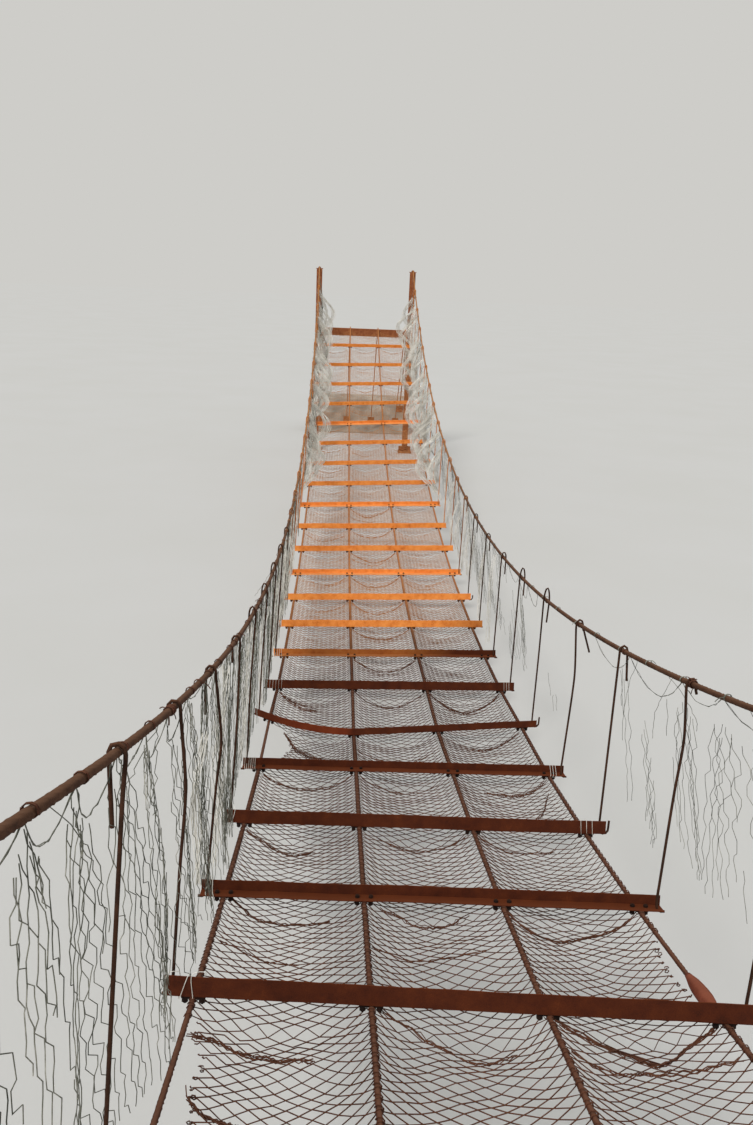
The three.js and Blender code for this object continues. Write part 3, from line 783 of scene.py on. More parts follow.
# Splice sleeve
def add_splice_sleeve():
    """A spindle, widest near its middle, with blunt shoulders: shares of its radius and of its length."""
    start = on_beam(SLEEVE_BEAM, DECK_ROPE_X[3], SEAT_HALF, -ROPE_DROP)
    end = on_beam(SLEEVE_BEAM + 1, DECK_ROPE_X[3], -SEAT_HALF, -ROPE_DROP)
    profile = (
        (0.42, -0.5),
        (0.66, -0.43),
        (0.88, -0.32),
        (0.99, -0.18),
        (1.0, -0.04),
        (0.95, 0.12),
        (0.82, 0.27),
        (0.6, 0.4),
        (0.46, 0.5),
    )
    bm = bmesh.new()
    chain = [bm.verts.new((wide * SLEEVE_RADIUS, 0, along * SLEEVE_LENGTH)) for wide, along in profile]
    edges = [bm.edges.new(pair) for pair in zip(chain, chain[1:])]
    turned = {"cent": (0, 0, 0), "axis": (0, 0, 1), "angle": 2 * math.pi, "steps": 24}
    bmesh.ops.spin(bm, geom=chain + edges, use_merge=True, **turned)
    bmesh.ops.remove_doubles(bm, verts=bm.verts[:], dist=1e-5)
    bmesh.ops.holes_fill(bm, edges=bm.edges[:], sides=0)
    bmesh.ops.recalc_face_normals(bm, faces=bm.faces[:])
    for vert in bm.verts:
        vert.co *= 1 + 0.03 * ripple(vert.co.x * 30, vert.co.y * 30, vert.co.z * 14)
    turn = Vector((0, 0, 1)).rotation_difference(end - start).to_matrix().to_4x4()
    place = Matrix.Translation(start.lerp(end, SLEEVE_SHARE))
    bmesh.ops.transform(bm, matrix=place @ turn, verts=bm.verts[:])
    add_piece("splice_sleeve", mesh_of(bm, "splice_sleeve"), sleeve_rust)


# Rope clamps under the crossbeams
def clamp_mesh():
    """A U-bolt round the rope, a saddle bar under the flange and a nut on each leg."""
    bm = bmesh.new()
    bevelled_box(bm, CLAMP_BAR, (0, 0, CLAMP_BAR_Z), 0.002, 1)
    for x in (-CLAMP_REACH, CLAMP_REACH):
        upright_bar(bm, U_BOLT_RADIUS, (x, 0), *U_BOLT_LEG)
        upright_bar(bm, LOWER_NUT_RADIUS, (x, 0), *LOWER_NUT, 6)
        upright_bar(bm, UPPER_NUT_RADIUS, (x, 0), *UPPER_NUT, 6)
    previous = []
    for angle in np.linspace(math.pi, 2 * math.pi, 7):
        across = math.cos(angle)
        rise = math.sin(angle)
        circle = bmesh.ops.create_circle(bm, cap_ends=not previous, segments=6, radius=U_BOLT_RADIUS)
        centre = Matrix.Translation((across * BOW_WIDTH, 0, BOW_Z + rise * BOW_DEPTH))
        turn = Matrix.Rotation(math.atan2(-across, -rise), 4, "Y")
        bmesh.ops.transform(bm, matrix=centre @ turn, verts=circle["verts"])
        ring = list(dict.fromkeys(edge for vert in circle["verts"] for edge in vert.link_edges))
        if previous:
            bmesh.ops.bridge_loops(bm, edges=previous + ring)
        previous = ring
    bmesh.ops.contextual_create(bm, geom=previous)
    bmesh.ops.recalc_face_normals(bm, faces=bm.faces[:])
    return mesh_of(bm, "clamp")


def add_clamps():
    """One clamp where each rope passes each crossbeam, set to the angle's slope there."""
    clamp = clamp_mesh()
    for x, node in zip(DECK_ROPE_X, DECK_ROPE_NODES):
        bm = bmesh.new()
        for number in range(1, BEAM_COUNT + 1):
            old = len(bm.verts)
            bm.from_mesh(clamp)
            bm.verts.ensure_lookup_table()
            skew = Matrix.Rotation(CLAMP_TURN * ripple(number * 3.3, x * 9), 4, "Z")
            step_up = beam_rise(number, x + SLOPE_SPAN / 2) - beam_rise(number, x - SLOPE_SPAN / 2)
            tilt = Matrix.Rotation(-math.atan(step_up / SLOPE_SPAN), 4, "Y")
            ahead = CLAMP_SHIFT * ripple(number * 5.1, x) + beam_ahead(number, x)
            place = Matrix.Translation((x, ahead, beam_rise(number, x)))
            matrix = deck_matrix(beam_y(number)) @ place @ tilt @ skew
            bmesh.ops.transform(bm, matrix=matrix, verts=bm.verts[old:])
        name = node.replace("deck_cable", "clamps")
        add_piece(name, mesh_of(bm, name), clamp_rust, smooth=False)
    bpy.data.meshes.remove(clamp)


# Hanger rods, by crossbeam and side. LOOP_RISE is how far the loop stands above the cable, FREE_LENGTH
# the length of its free end and SPLAY how far that end leans out and ahead. BENDS lists the bends of the
# shaft, as a share of the way down, outwards and ahead. HOOKED_FOOT is the height of a hook on the right.
LOOP_RISE = {
    (3, -1): 0.0,
    (4, -1): 0.0,
    (5, -1): 0.003,
    (6, -1): 0.005,
    (7, -1): 0.036,
    (8, -1): 0.042,
    (9, -1): 0.05,
    (10, -1): 0.04,
    (4, 1): 0.002,
    (5, 1): 0.003,
    (6, 1): 0.008,
    (7, 1): 0.012,
    (8, 1): 0.07,
    (9, 1): 0.065,
    (10, 1): 0.03,
}
FREE_LENGTH = {(4, -1): 0.03, (5, 1): 0.045, (3, -1): 0.2, (5, -1): 0.19, (6, -1): 0.12, (7, -1): 0.1}
SPLAY = {(7, 1): (0.05, -0.02), (6, 1): (0.012, 0.0), (5, -1): (0.004, 0.0)}
BENDS = {
    (3, -1): ((0.12, 0.004, 0.0),),
    (4, -1): ((0.28, -0.024, 0.0), (0.6, -0.01, 0.0)),
    (5, -1): ((0.3, -0.035, 0.0), (0.55, -0.018, 0.01)),
    (6, -1): ((0.4, -0.006, 0.0),),
    (4, 1): ((0.3, 0.01, 0.0),),
    (5, 1): ((0.24, 0.024, 0.0), (0.5, 0.012, 0.0)),
    (6, 1): ((0.5, 0.002, 0.0),),
    (7, 1): ((0.34, 0.022, 0.0),),
    (8, 1): ((0.4, 0.006, 0.01),),
}
SLID_HOOK = (3, -1)
SLID_AHEAD = 0.22
HOOKED_FOOT = {6: 0.05, 8: 0.048, 12: 0.03, 17: 0.035}


def foot_points(number, side):
    """The rod's end under the flange: turned outwards, and up into a hook on some on the right."""
    hole = -HOLE_OFF_CENTRE if lip_is_near(number) else HOLE_OFF_CENTRE
    line = [(0.0, 0.05), (0.0, 0.018), (0.003, 0.0), (0.011, -0.0068)]
    if side < 0 or number not in HOOKED_FOOT:
        line += [(0.022, -0.0078), (0.036, -0.0068)]
    else:
        rise = HOOKED_FOOT[number]
        line += [(0.026, -0.0085), (0.039, -0.004), (0.047, 0.007)]
        line += [(0.049, 0.012 + 0.5 * rise), (0.051, 0.012 + rise)]
    return [on_beam(number, side * (ROD_X + out), hole, z) for out, z in line]


def loop_points(number, side, cable):
    """The free end outside the main cable, the loop over it and the start of the shaft inside it."""
    hook = MAIN_RADIUS + ROD_RADIUS + ROD_CLEARANCE
    loop = LOOP_RISE.get((number, side), 0.016 + 0.014 * ripple(number * 1.9, side * 3))
    free = FREE_LENGTH.get((number, side), 0.15 + 0.04 * ripple(number * 4.4, side * 1.3))
    out, ahead = SPLAY.get((number, side), (0.012 * ripple(number * 6.1, side * 2.0), 0.0))
    points = [
        cable + Vector((side * (hook + out), ahead, -free)),
        cable + Vector((side * (hook + out * 0.15), ahead * 0.15, -min(0.03, free * 0.6))),
    ]
    pinch = 0.4 * min(0.35, loop * 5)
    for angle in np.linspace(0, math.pi, 9):
        width = hook * (1 - pinch * math.sin(angle))
        points.append(cable + Vector((side * width * math.cos(angle), 0, (loop + hook) * math.sin(angle))))
    return [*points, cable + Vector((-side * hook, 0, -0.02))]


def hanger_route(number, side):
    """A rod from its free end over the cable and down its bent shaft to its foot."""
    foot = foot_points(number, side)
    slid = SLID_AHEAD if (number, side) == SLID_HOOK else 0.0
    loop = loop_points(number, side, main_point(side, foot[0].y + slid))
    usual = (0.4 + 0.2 * ripple(number * 3.7, side * 4), 0.008 * ripple(number * 2.9, side * 5), 0.0)
    shaft = []
    for share, across, along in BENDS.get((number, side), (usual,)):
        point = loop[-1].lerp(foot[0], share)
        point.x += side * across
        point.y += math.copysign(ROD_OFFSET, foot[0].y - beam_y(number)) + along
        shaft.append(point)
    line = [loop[-1], *shaft, foot[0]]
    eased = []
    for first, second in zip(line, line[1:]):
        eased += [first.lerp(second, 0.12), first.lerp(second, 0.88)]
    return smooth_route(loop + eased + foot, ROD_STEP)


def add_hanger_rods():
    for side, word in ((-1, "left"), (1, "right")):
        routes = [hanger_route(number, side) for number in range(1, BEAM_COUNT + 1)]
        name = f"hanger_rods_{word}"
        add_piece(name, wire_mesh(name, routes, ROD_RADIUS, 6), bar_rust)


# Deck nets: each strip's two ropes and the seed of its folds
NET_STRIPS = {"left": (-0.9, -0.3, 11.0), "middle": (-0.3, 0.3, 23.0), "right": (0.3, 0.9, 37.0)}
NET_LENGTHS = (
    ("near_end", -DECK_NET_END, -DECK_NET_JOINT),
    ("near_middle", -DECK_NET_JOINT, 0.0),
    ("far_middle", 0.0, DECK_NET_JOINT),
    ("far_end", DECK_NET_JOINT, DECK_NET_END),
)


def net_point(strip, share, y):
    """A point of the deck net: it sags between two ropes and its rows bow towards the near end."""
    left_x, right_x, seed = NET_STRIPS[strip]
    hung = 1 - share * share
    nearing = station_at(y) % 1
    bow = hung * (0.020 + 0.040 * nearing**3 + 0.014 * ripple(y * 1.3, seed))
    warp = 0.026 * ripple(share * 0.9 + seed, y * 1.6) + 0.015 * ripple(share * 2.1, y * 3.9, seed)
    warp += 0.013 * ripple(share * 1.4, y * 8.0, seed + 5)
    place = y - bow + warp * (1 - share**4)
    depth = 0.090 + 0.016 * ripple(y * 0.9, seed) + 0.010 * ripple(y * 3.1, share * 0.7, seed)
    sag = depth * hung**0.85 + 0.003 * ripple(y * 9, share * 5, seed)
    point = rope_point(left_x, place).lerp(rope_point(right_x, place), (share + 1) / 2)
    point.z -= sag
    return point


def loose_edge(strip, y):
    """How far the net's outer edge has come off its rope."""
    station = station_at(y)
    if strip == "left" and 2.95 < station < 3.93:
        t = (station - 2.95) / 0.98
        return 0.03 + 0.055 * math.sin(math.pi * t) + 0.022 * ripple(y * 7.0, 3.0)
    if strip == "left" and 7.02 < station < 8.0:
        slips = ((7.02, 0.0), (7.2, 0.08), (7.45, 0.14), (7.7, 0.19), (7.85, 0.16), (8.0, 0.12))
        return float(np.interp(station, *zip(*slips)))
    if strip == "right" and 4.1 < station < 4.75:
        t = (station - 4.1) / 0.65
        return 0.05 * math.sin(math.pi * t) ** 0.5
    return 0.0


def loosened(strip, share, y):
    """The share across the strip once its outer edge has slipped inwards."""
    left_x, right_x, _ = NET_STRIPS[strip]
    slip = loose_edge(strip, y) / ((right_x - left_x) / 2)
    if strip == "left":
        return share + slip * (1 - share) / 2
    if strip == "right":
        return share - slip * (1 + share) / 2
    return share


def zigzag(row, column):
    """1 or -1 in turn, so that neighbouring wires meet and part."""
    return 1 if (row + column) % 2 else -1


def deck_net_routes(strip, start, stop):
    """Chain link: each wire zigzags across the strip and ends round the rope, or curled where it's loose."""
    left_x, right_x, _ = NET_STRIPS[strip]
    columns = round((right_x - left_x) / (DIAMOND_WIDTH / 2))
    pitch = DIAMOND_LENGTH / 2
    first = math.ceil((start + HALF_SPAN) / pitch)
    last = math.ceil((stop + HALF_SPAN) / pitch)
    routes = []
    for row in range(first, last):
        row_y = -HALF_SPAN + row * pitch
        loose = loose_edge(strip, row_y)
        route = []
        for column in range(columns + 1):
            share = loosened(strip, -1 + 2 * column / columns, row_y)
            route.append(net_point(strip, share, row_y + zigzag(row, column) * pitch * 0.5))
        before = wrapped_end(route[0], left_x, row)
        after = wrapped_end(route[-1], right_x, row)
        if loose and strip == "left":
            before = curled_end(route[0], row, -1)
        if loose and strip == "right":
            after = curled_end(route[-1], row, 1)
        routes.append([tuple(point) for point in before + route + after[::-1]])
    return routes


def curled_end(point, row, side):
    """A cut wire end turned back on itself."""
    spin = row * 2.4
    reach = 0.005 + 0.004 * math.sin(row * 5.1)
    curl = [point + Vector((side * 0.008, 0.004 * math.sin(spin), -0.003))]
    for turn in np.linspace(0, 1.7 * math.pi, 5):
        across = 0.010 + reach * math.sin(turn)
        lift = reach * (1 - math.cos(turn)) * math.cos(spin)
        curl.append(point + Vector((side * across, 0.006 * math.sin(spin), lift)))
    return curl[::-1]


def wrapped_end(point, rope_x, row):
    """The wire's end taken once round the rope."""
    centre = rope_point(rope_x, point.y)
    side = 1 if rope_x > point.x else -1
    ring = DECK_ROPE_RADIUS + DECK_WIRE_RADIUS
    advance = 0.012 * zigzag(row, 0)
    points = []
    count = 6 if point.y < 0 else 4
    for index, angle in enumerate(np.linspace(-0.6 * math.pi, math.pi, count)):
        turn = Vector((side * ring * math.cos(angle), advance * index / count, ring * math.sin(angle)))
        points.append(centre + turn)
    return points[::-1]


def add_deck_nets():
    for length, start, stop in NET_LENGTHS:
        routes = [route for strip in NET_STRIPS for route in deck_net_routes(strip, start, stop)]
        name = f"chain_link_{length}"
        mesh = wire_mesh(name, routes, DECK_WIRE_RADIUS)
        add_piece(name, mesh, net_rust, (f"deck_net_{length}",))


# Gathered net: strip, strands, thickness, extra dip, then its line as share across the strip and station
GATHERS = (
    ("left", 6, 0.006, 0.0, ((-0.97, 3.8), (-0.7, 3.85), (-0.17, 3.84), (0.0, 3.8), (0.4, 3.78))),
    ("left", 6, 0.007, 0.0, ((-0.84, 3.53), (-0.8, 3.47), (-0.67, 3.44), (-0.4, 3.42), (0.1, 3.38))),
    ("left", 3, 0.004, 0.0, ((-0.9, 3.2), (-0.4, 3.14), (0.3, 3.1))),
    ("middle", 3, 0.005, 0.0, ((-0.97, 4.05), (-0.57, 4.02), (0.07, 3.9), (0.6, 3.89))),
    (
        "right",
        9,
        0.007,
        0.012,
        ((-0.97, 4.0), (-0.6, 4.0), (-0.23, 3.95), (0.1, 3.87), (0.5, 3.95), (0.97, 3.99)),
    ),
    ("right", 4, 0.006, 0.0, ((-0.95, 3.8), (-0.5, 3.79), (0.6, 3.79), (0.98, 3.76))),
    ("left", 4, 0.005, 0.004, ((-0.95, 5.03), (-0.8, 5.02), (-0.5, 4.97), (0.03, 4.99), (0.63, 4.95))),
    ("left", 2, 0.005, 0.0, ((-0.97, 4.57), (-0.5, 4.56), (0.27, 4.56))),
    ("middle", 4, 0.007, 0.004, ((-0.8, 5.02), (-0.5, 5.01), (0.0, 4.98), (0.55, 5.0))),
    ("middle", 2, 0.006, 0.0, ((-0.97, 4.56), (-0.43, 4.59), (0.1, 4.6), (0.7, 4.62))),
    ("right", 5, 0.004, 0.006, ((-0.97, 4.98), (-0.73, 4.87), (-0.27, 4.84), (0.2, 4.9), (0.97, 4.99))),
    ("left", 5, 0.007, 0.0, ((-0.97, 5.93), (-0.7, 5.86), (-0.2, 5.82), (0.3, 5.84))),
    ("middle", 3, 0.004, 0.012, ((-0.7, 5.98), (-0.1, 5.94), (0.4, 5.95), (0.95, 5.99))),
    ("right", 3, 0.005, 0.0, ((-0.97, 5.97), (-0.3, 5.93), (0.5, 5.96))),
    ("right", 4, 0.008, 0.0, ((0.2, 6.3), (0.55, 6.45), (0.9, 6.8))),
    ("left", 4, 0.006, 0.006, ((-0.95, 6.98), (-0.3, 6.94), (0.4, 6.93), (0.97, 6.99))),
    ("middle", 2, 0.005, 0.0, ((-0.9, 6.96), (0.0, 6.92), (0.8, 6.97))),
    ("right", 5, 0.008, 0.0, ((-0.4, 6.9), (0.1, 6.86), (0.6, 6.88), (0.97, 6.98))),
    ("left", 12, 0.012, 0.0, ((-0.64, 7.99), (-0.47, 7.83), (-0.33, 7.7), (0.0, 7.62), (0.4, 7.57))),
    ("left", 4, 0.006, 0.0, ((-0.9, 8.92), (-0.6, 8.74), (-0.3, 8.7), (0.1, 8.72))),
    ("middle", 2, 0.005, 0.0, ((-0.97, 7.6), (0.0, 7.55), (0.9, 7.62))),
    ("right", 4, 0.004, 0.012, ((-0.3, 7.93), (0.1, 7.86), (0.97, 7.99))),
    ("left", 4, 0.006, 0.012, ((-0.97, 8.97), (-0.5, 8.85), (0.0, 8.9))),
    ("middle", 4, 0.004, 0.03, ((-0.97, 8.99), (0.0, 8.95), (0.97, 8.99))),
    ("right", 9, 0.008, 0.04, ((-0.95, 8.97), (-0.3, 8.88), (0.1, 8.84), (0.5, 8.9), (0.97, 8.99))),
    ("right", 3, 0.005, 0.0, ((-0.6, 8.75), (0.0, 8.7), (0.6, 8.78))),
)


def gather_routes(strip, strands, thickness, dip, line, rng):
    """Net rows drawn together into a slack roll that lies in the net and frays out at both ends."""
    shares, stations = zip(*line)
    routes = []
    for strand in range(strands):
        phase = rng.uniform(0, 2 * math.pi)
        turns = rng.uniform(4, 9)
        size = thickness * rng.uniform(0.3, 1.0)
        begin = shares[0] + rng.uniform(0, 0.08)
        end = shares[-1] - rng.uniform(0, 0.16)
        route = []
        for index, t in enumerate(even_steps(26)):
            share = begin + (end - begin) * t
            roll = phase + turns * t
            loose = size * (0.35 + math.sin(math.pi * t)) + 0.004 * (abs(2 * t - 1) ** 8)
            y = beam_y(np.interp(share, shares, stations))
            point = net_point(strip, share, y + 1.6 * loose * math.cos(roll))
            point.z -= dip * (1 - share * share) - loose * math.sin(roll)
            kink = zigzag(index, strand) * size * 0.8
            point += Vector((0, kink + 0.003 * ripple(t * 9, strand, y), 0.003 * ripple(t * 23, y, strand)))
            route.append(tuple(point))
        routes.append(route)
    return routes


def far_gathers(number, strip, rng):
    """What hangs before a crossbeam past those in GATHERS, deepest in the middle strip."""
    routes = []
    deep = strip == "middle" and number < DEEP_GATHERS_END
    start = -0.97 if deep else rng.uniform(-0.97, -0.5)
    stop = 0.97 if deep else rng.uniform(0.4, 0.97)
    low = number - 0.03 - rng.uniform(0.0, 0.07)
    line = ((start, number - 0.01), ((start + stop) / 2, low), (stop, number - 0.01))
    dip = rng.uniform(0.02, 0.04) if deep else rng.uniform(0.0, 0.006)
    if deep or rng.random() < 0.5:
        routes += gather_routes(strip, 5 if deep else 2, 0.005, dip, line, rng)
    if rng.random() < 0.4:
        place = number - rng.uniform(0.2, 0.7)
        line = ((-0.95, place), (0.0, place - 0.04), (rng.uniform(0.2, 0.9), place))
        routes += gather_routes(strip, 2, 0.006, 0.0, line, rng)
    return routes


def add_gathers():
    rng = random.Random(4)
    routes = []
    for gather in GATHERS:
        routes += gather_routes(*gather, rng)
    for number in range(FAR_GATHERS_START, BEAM_COUNT + 1):
        for strip in NET_STRIPS:
            routes += far_gathers(number, strip, rng)
    mesh = wire_mesh("net_gathers", routes, GATHER_WIRE_RADIUS)
    add_piece("net_gathers", mesh, net_rust)


# Side nets
def tie_places(side):
    """Where the side net is tied to the main cable, and how deep it hangs before the next tie."""
    rng = random.Random(20 + side)
    ties = []
    y = -FIRST_TIE
    while y < FIRST_TIE:
        near = station_at(y) < 4.2
        step = rng.uniform(0.3, 0.5) if side < 0 else rng.uniform(0.35, 0.75)
        deep = rng.uniform(0.06, 0.16) if near or side > 0 else rng.uniform(0.02, 0.08)
        ties.append((y, deep))
        y += step
    return [*ties, (LAST_TIE, 0.0)]


SIDE_TIES = {side: tie_places(side) for side in (-1, 1)}


def hang_at(side, y):
    """How far below the main cable the side net's top edge hangs, and the nearest tie."""
    for (start, deep), (end, _) in zip(SIDE_TIES[side], SIDE_TIES[side][1:]):
        if y <= end:
            t = min(max((y - start) / (end - start), 0.0), 1.0)
            return MAIN_RADIUS + deep * 4 * t * (1 - t), start if t < 0.5 else end
    return MAIN_RADIUS, y


def near_end(y):
    """1 short of crossbeam_05, where the side nets are dragged aside, and 0 past crossbeam_06."""
    return min(max((6.2 - station_at(y)) / 1.6, 0.0), 1.0)


def curtain_point(side, y, down, swing, slump=0.0, lean=0.0):
    """A point of the hanging side net, down from the cable; swing is the wire's kink across its fold."""
    left = side < 0
    near = near_end(y)
    height = rail_height(y) - deck_height(y)
    share = min(down / height, 1.15)
    _, tie = hang_at(side, y)
    gathered = (tie - y) * (0.35 + 0.4 * near) * math.exp(-share / 0.22)
    drift = 0.06 * ripple(y * 1.1, share * 1.1, side * 7.0) * (0.2 + share)
    fold = ripple(y * 2.6, share * 0.5, side * 5.0) + 0.5 * ripple(y * 6.5, share * 0.9, side * 2.0)
    fold *= 0.55 + 0.45 * near if left else 1.0
    turn = (0.4 if left else 0.8) * ripple(y * 2.1, share * 1.5, side * 3.0)
    place = y + gathered + drift + swing * math.cos(turn) + lean
    flare = 0.03 if left else 0.14
    if left:
        # Between its crossbeams the near net is blown in over the deck, and beside them it hangs outside.
        clear = min(1.0, abs(station_at(place) - round(station_at(place))) * 6)
        flare -= 0.06 * near * clear
    out = 0.012 + flare * share + 0.045 * fold * (0.25 + share)
    inward = slump * math.sin(math.pi * min(1.0, share * 1.02)) ** 1.3
    facing = 0.05 + 0.3 * math.sin(turn) if left else 0.12 + 0.6 * math.sin(turn)
    x = main_point(side, place).x + side * (out - inward) + swing * facing
    x = max(-SIDE_NET_LIMIT, min(SIDE_NET_LIMIT, x))
    return Vector((x, place, rail_height(place) - down))


def slump_at(side, y):
    """How far the net has slumped in over the deck; only past mid-span."""
    if y < SLUMP_START:
        return 0.0
    grown = min(1.0, (y - SLUMP_START) / 2.5)
    return grown * max(0.0, 0.12 + 0.16 * ripple(y * 1.05, side * 4.0))


def keeps_wire(side, y, share):
    """Whether the net is whole at that place, or torn away."""
    torn = ripple(y * 1.3, share * 1.1, side * 9.0) + 0.6 * ripple(y * 9.7, share * 1.3, side * 2.0)
    if side < 0:
        return torn < 0.74 - 0.25 * share
    station = station_at(y)
    if station < BARE_START:
        return torn < 0.06 and share > 0.1
    if station < BARE_END:
        return torn < -0.75
    return torn < (-0.45 if station < THIN_END else 0.25)


def wire_spacing(side, y):
    """The left net is closer woven than the right one, and closest where it hangs in narrow folds."""
    if side > 0:
        return RIGHT_SPACING
    return DENSE_SPACING if DENSE_START < station_at(y) < DENSE_END else LEFT_SPACING


def wire_places(side):
    """Where along the bridge each upright wire of the side net starts."""
    places = []
    y = -SIDE_NET_END
    while y < SIDE_NET_END:
        places.append(y)
        y += wire_spacing(side, y)
    return places


def upright_wire(side, column, y):
    """The unbroken lengths of one wire: twisted with one neighbour, then jogged across to the other."""
    left = side < 0
    twist, jog = (0.046, 0.014) if left else (0.05, 0.024)
    ragged = 0.97 + 0.06 * ripple(y * 5.3, side) if left else 0.86 + 0.2 * ripple(y * 3.3, side)
    shake = 0.005 if left else 0.009
    slump = slump_at(side, y)
    height = rail_height(y) - deck_height(y)
    down, _ = hang_at(side, y)
    row = 0
    lengths = [[]]
    while down < height * ragged:
        if keeps_wire(side, y, down / height):
            crimp = 0.68 + 0.45 * ripple(y * 31, down * 13, side)
            swing = zigzag(row, column) * wire_spacing(side, y) * 0.5 * crimp
            lean = 0.012 * row * near_end(y) if left else 0.0
            for level in (down, down + twist * crimp):
                point = curtain_point(side, y, level, swing, slump, lean)
                point.x += 0.004 * ripple(y * 47, level * 29)
                point.y += shake * ripple(y * 53, level * 23, side)
                lengths[-1].append(tuple(point))
        else:
            lengths.append([])
        down += twist + jog * (1 + 0.3 * ripple(y * 17, down * 9))
        row += 1
    return [length for length in lengths if len(length) >= SHORTEST_WIRE]


def side_net_routes(side):
    routes = []
    for column, y in enumerate(wire_places(side)):
        routes += upright_wire(side, column, y)
    return routes


def selvage_routes(side):
    """The net's two top wires, slack between its ties."""
    routes = []
    for (start, deep), (end, _) in zip(SIDE_TIES[side], SIDE_TIES[side][1:]):
        if side > 0 and BARE_START < station_at(start) < 8.0:
            continue
        for strand in (0, 1):
            route = []
            for t in even_steps(12):
                y = start + (end - start) * t
                down, _ = hang_at(side, y)
                point = main_point(side, y)
                slack = 0.2 * deep * math.sin(math.pi * t)
                point.x += side * (0.010 + slack + 0.004 * ripple(y * 21, strand))
                point.z -= down + 0.006 * ripple(y * 24, strand * 3.0, deep)
                route.append(tuple(point))
            routes.append(route)
    return routes


# Single broken wires and bundles of bleached net, by crossbeam number
STRINGS = {-1: (3, 3, 4, 4, 5, 5, 6, 7, 8, 9, 11), 1: (3, 3, 4, 4, 5, 5, 6, 9, 11)}
BUNCHES = {
    -1: (4.75, 5.3, 5.6, 6.9, 8.3, 9.3, 9.7, 10.1, 10.4, 10.7, 11.1, 11.4, 11.8, 12.2, 12.5, 12.9, 13.4),
    1: (10.6, 11.3, 12.2, 12.5, 12.8, 13.2, 13.8, 14.3, 14.9, 15.4),
}
SLUMPED_BUNCHES = [16 + 0.25 * step for step in range(34)]


def slack_strings(side, rng):
    """Single broken wires that hang from the cable in loops, each a little uneven."""
    routes = []
    for number in STRINGS[side]:
        y = beam_y(number) + rng.uniform(-0.45, 0.45)
        start = main_point(side, y)
        reach = rng.uniform(-0.45, 0.45)
        fall = rng.uniform(0.15, 0.5)
        out = rng.uniform(0.0, 0.12)
        route = []
        for t in even_steps(18):
            wave = 0.008 * ripple(t * 9, number, y)
            uneven = rng.choice((1.0, 1.02))
            place = start.y + reach * math.sin(t * 1.9) + wave
            x = start.x + side * (out * t + 0.014) + wave
            route.append((x, place, rail_height(place) - MAIN_RADIUS - fall * t**uneven))
        routes.append(route)
    return routes


def bunch_routes(side, stations, thick, rng):
    """Loose bundles of bleached netting between the rods, thick and slumped inwards at the far end."""
    routes = []
    for station in stations:
        y = beam_y(station) + rng.uniform(-0.08, 0.08)
        top = rng.uniform(0.02, 0.25)
        bottom = rng.uniform(0.75, 1.0)
        sway = rng.uniform(0.05, 0.34) if thick else rng.uniform(-0.03, 0.05)
        drift = rng.uniform(-0.3, 0.3) if thick else rng.uniform(-0.12, 0.12)
        for wire in range(14 if thick else 8):
            phase = rng.uniform(0, 6.28)
            width = rng.uniform(0.012, 0.06) if thick else rng.uniform(0.006, 0.035)
            route = []
            for t in even_steps(12):
                share = top + (bottom - top) * t
                place = y + drift * t + width * math.sin(phase + 7 * t) + 0.02 * ripple(t * 9, wire, y)
                x = main_point(side, place).x * (1 - share) + side * BUNCH_FOOT_X * share
                x -= side * (sway * math.sin(math.pi * t) ** 1.4 - width * 0.8 * math.cos(phase + 6 * t))
                height = rail_height(place) + (deck_height(place) - rail_height(place)) * share
                route.append((x, place, height + 0.01 * ripple(t * 8, y, wire)))
            routes.append(route)
    return routes


def add_side_nets():
    for side, word, wire_radius in ((-1, "left", LEFT_WIRE_RADIUS), (1, "right", RIGHT_WIRE_RADIUS)):
        rng = random.Random(60 + side)
        name = f"torn_net_{word}"
        routes = side_net_routes(side) + selvage_routes(side) + slack_strings(side, rng)
        mesh = wire_mesh(name, routes, wire_radius)
        add_piece(name, mesh, zinc_wire, (f"side_net_{word}",))
        name = f"bunched_net_{word}"
        mesh = wire_mesh(name, bunch_routes(side, BUNCHES[side], False, rng), BUNCH_WIRE_RADIUS)
        add_piece(name, mesh, white_wire)
        name = f"slumped_net_{word}"
        mesh = wire_mesh(name, bunch_routes(side, SLUMPED_BUNCHES, True, rng), SLUMPED_WIRE_RADIUS)
        add_piece(name, mesh, white_wire)


# Wire ties
def wound_wire(side, y, turns, wobble, rng):
    """Wire wound round the main cable from y on."""
    start = rng.uniform(0, 6.28)
    route = []
    for index in range(int(turns * 10) + 1):
        t = index / (turns * 10)
        angle = start + 2 * math.pi * turns * t
        radius = MAIN_RADIUS + 0.0014 + wobble * abs(ripple(t * 5, y * 9, turns))
        centre = main_point(side, y + TIE_PITCH * turns * (t + 24 * wobble * ripple(t * 3, y)))
        route.append(tuple(centre + Vector((radius * math.cos(angle), 0, radius * math.sin(angle)))))
    return route


def loose_end(side, y, turns, rng):
    """A short wire end that sticks out of a tie and droops."""
    angle = rng.uniform(0, 6.28)
    tip = Vector((math.cos(angle), rng.uniform(-0.8, 0.8), math.sin(angle) - 0.7)).normalized()
    size = rng.uniform(0.015, 0.045)
    base = main_point(side, y + rng.uniform(0, TIE_PITCH * turns))
    base += Vector((math.cos(angle), 0, math.sin(angle))) * (MAIN_RADIUS + 0.001)
    droop = [Vector((0, size * 0.5 * math.sin(2 * t), -0.4 * size * t * t)) for t in even_steps(5)]
    return [tuple(base + tip * size * t + bend) for t, bend in zip(even_steps(5), droop)]


def tie_routes(side, y, turns, wobble, loose, rng):
    """One tie on a main cable, with the loose ends left over."""
    return [wound_wire(side, y, turns, wobble, rng)] + [loose_end(side, y, turns, rng) for _ in range(loose)]


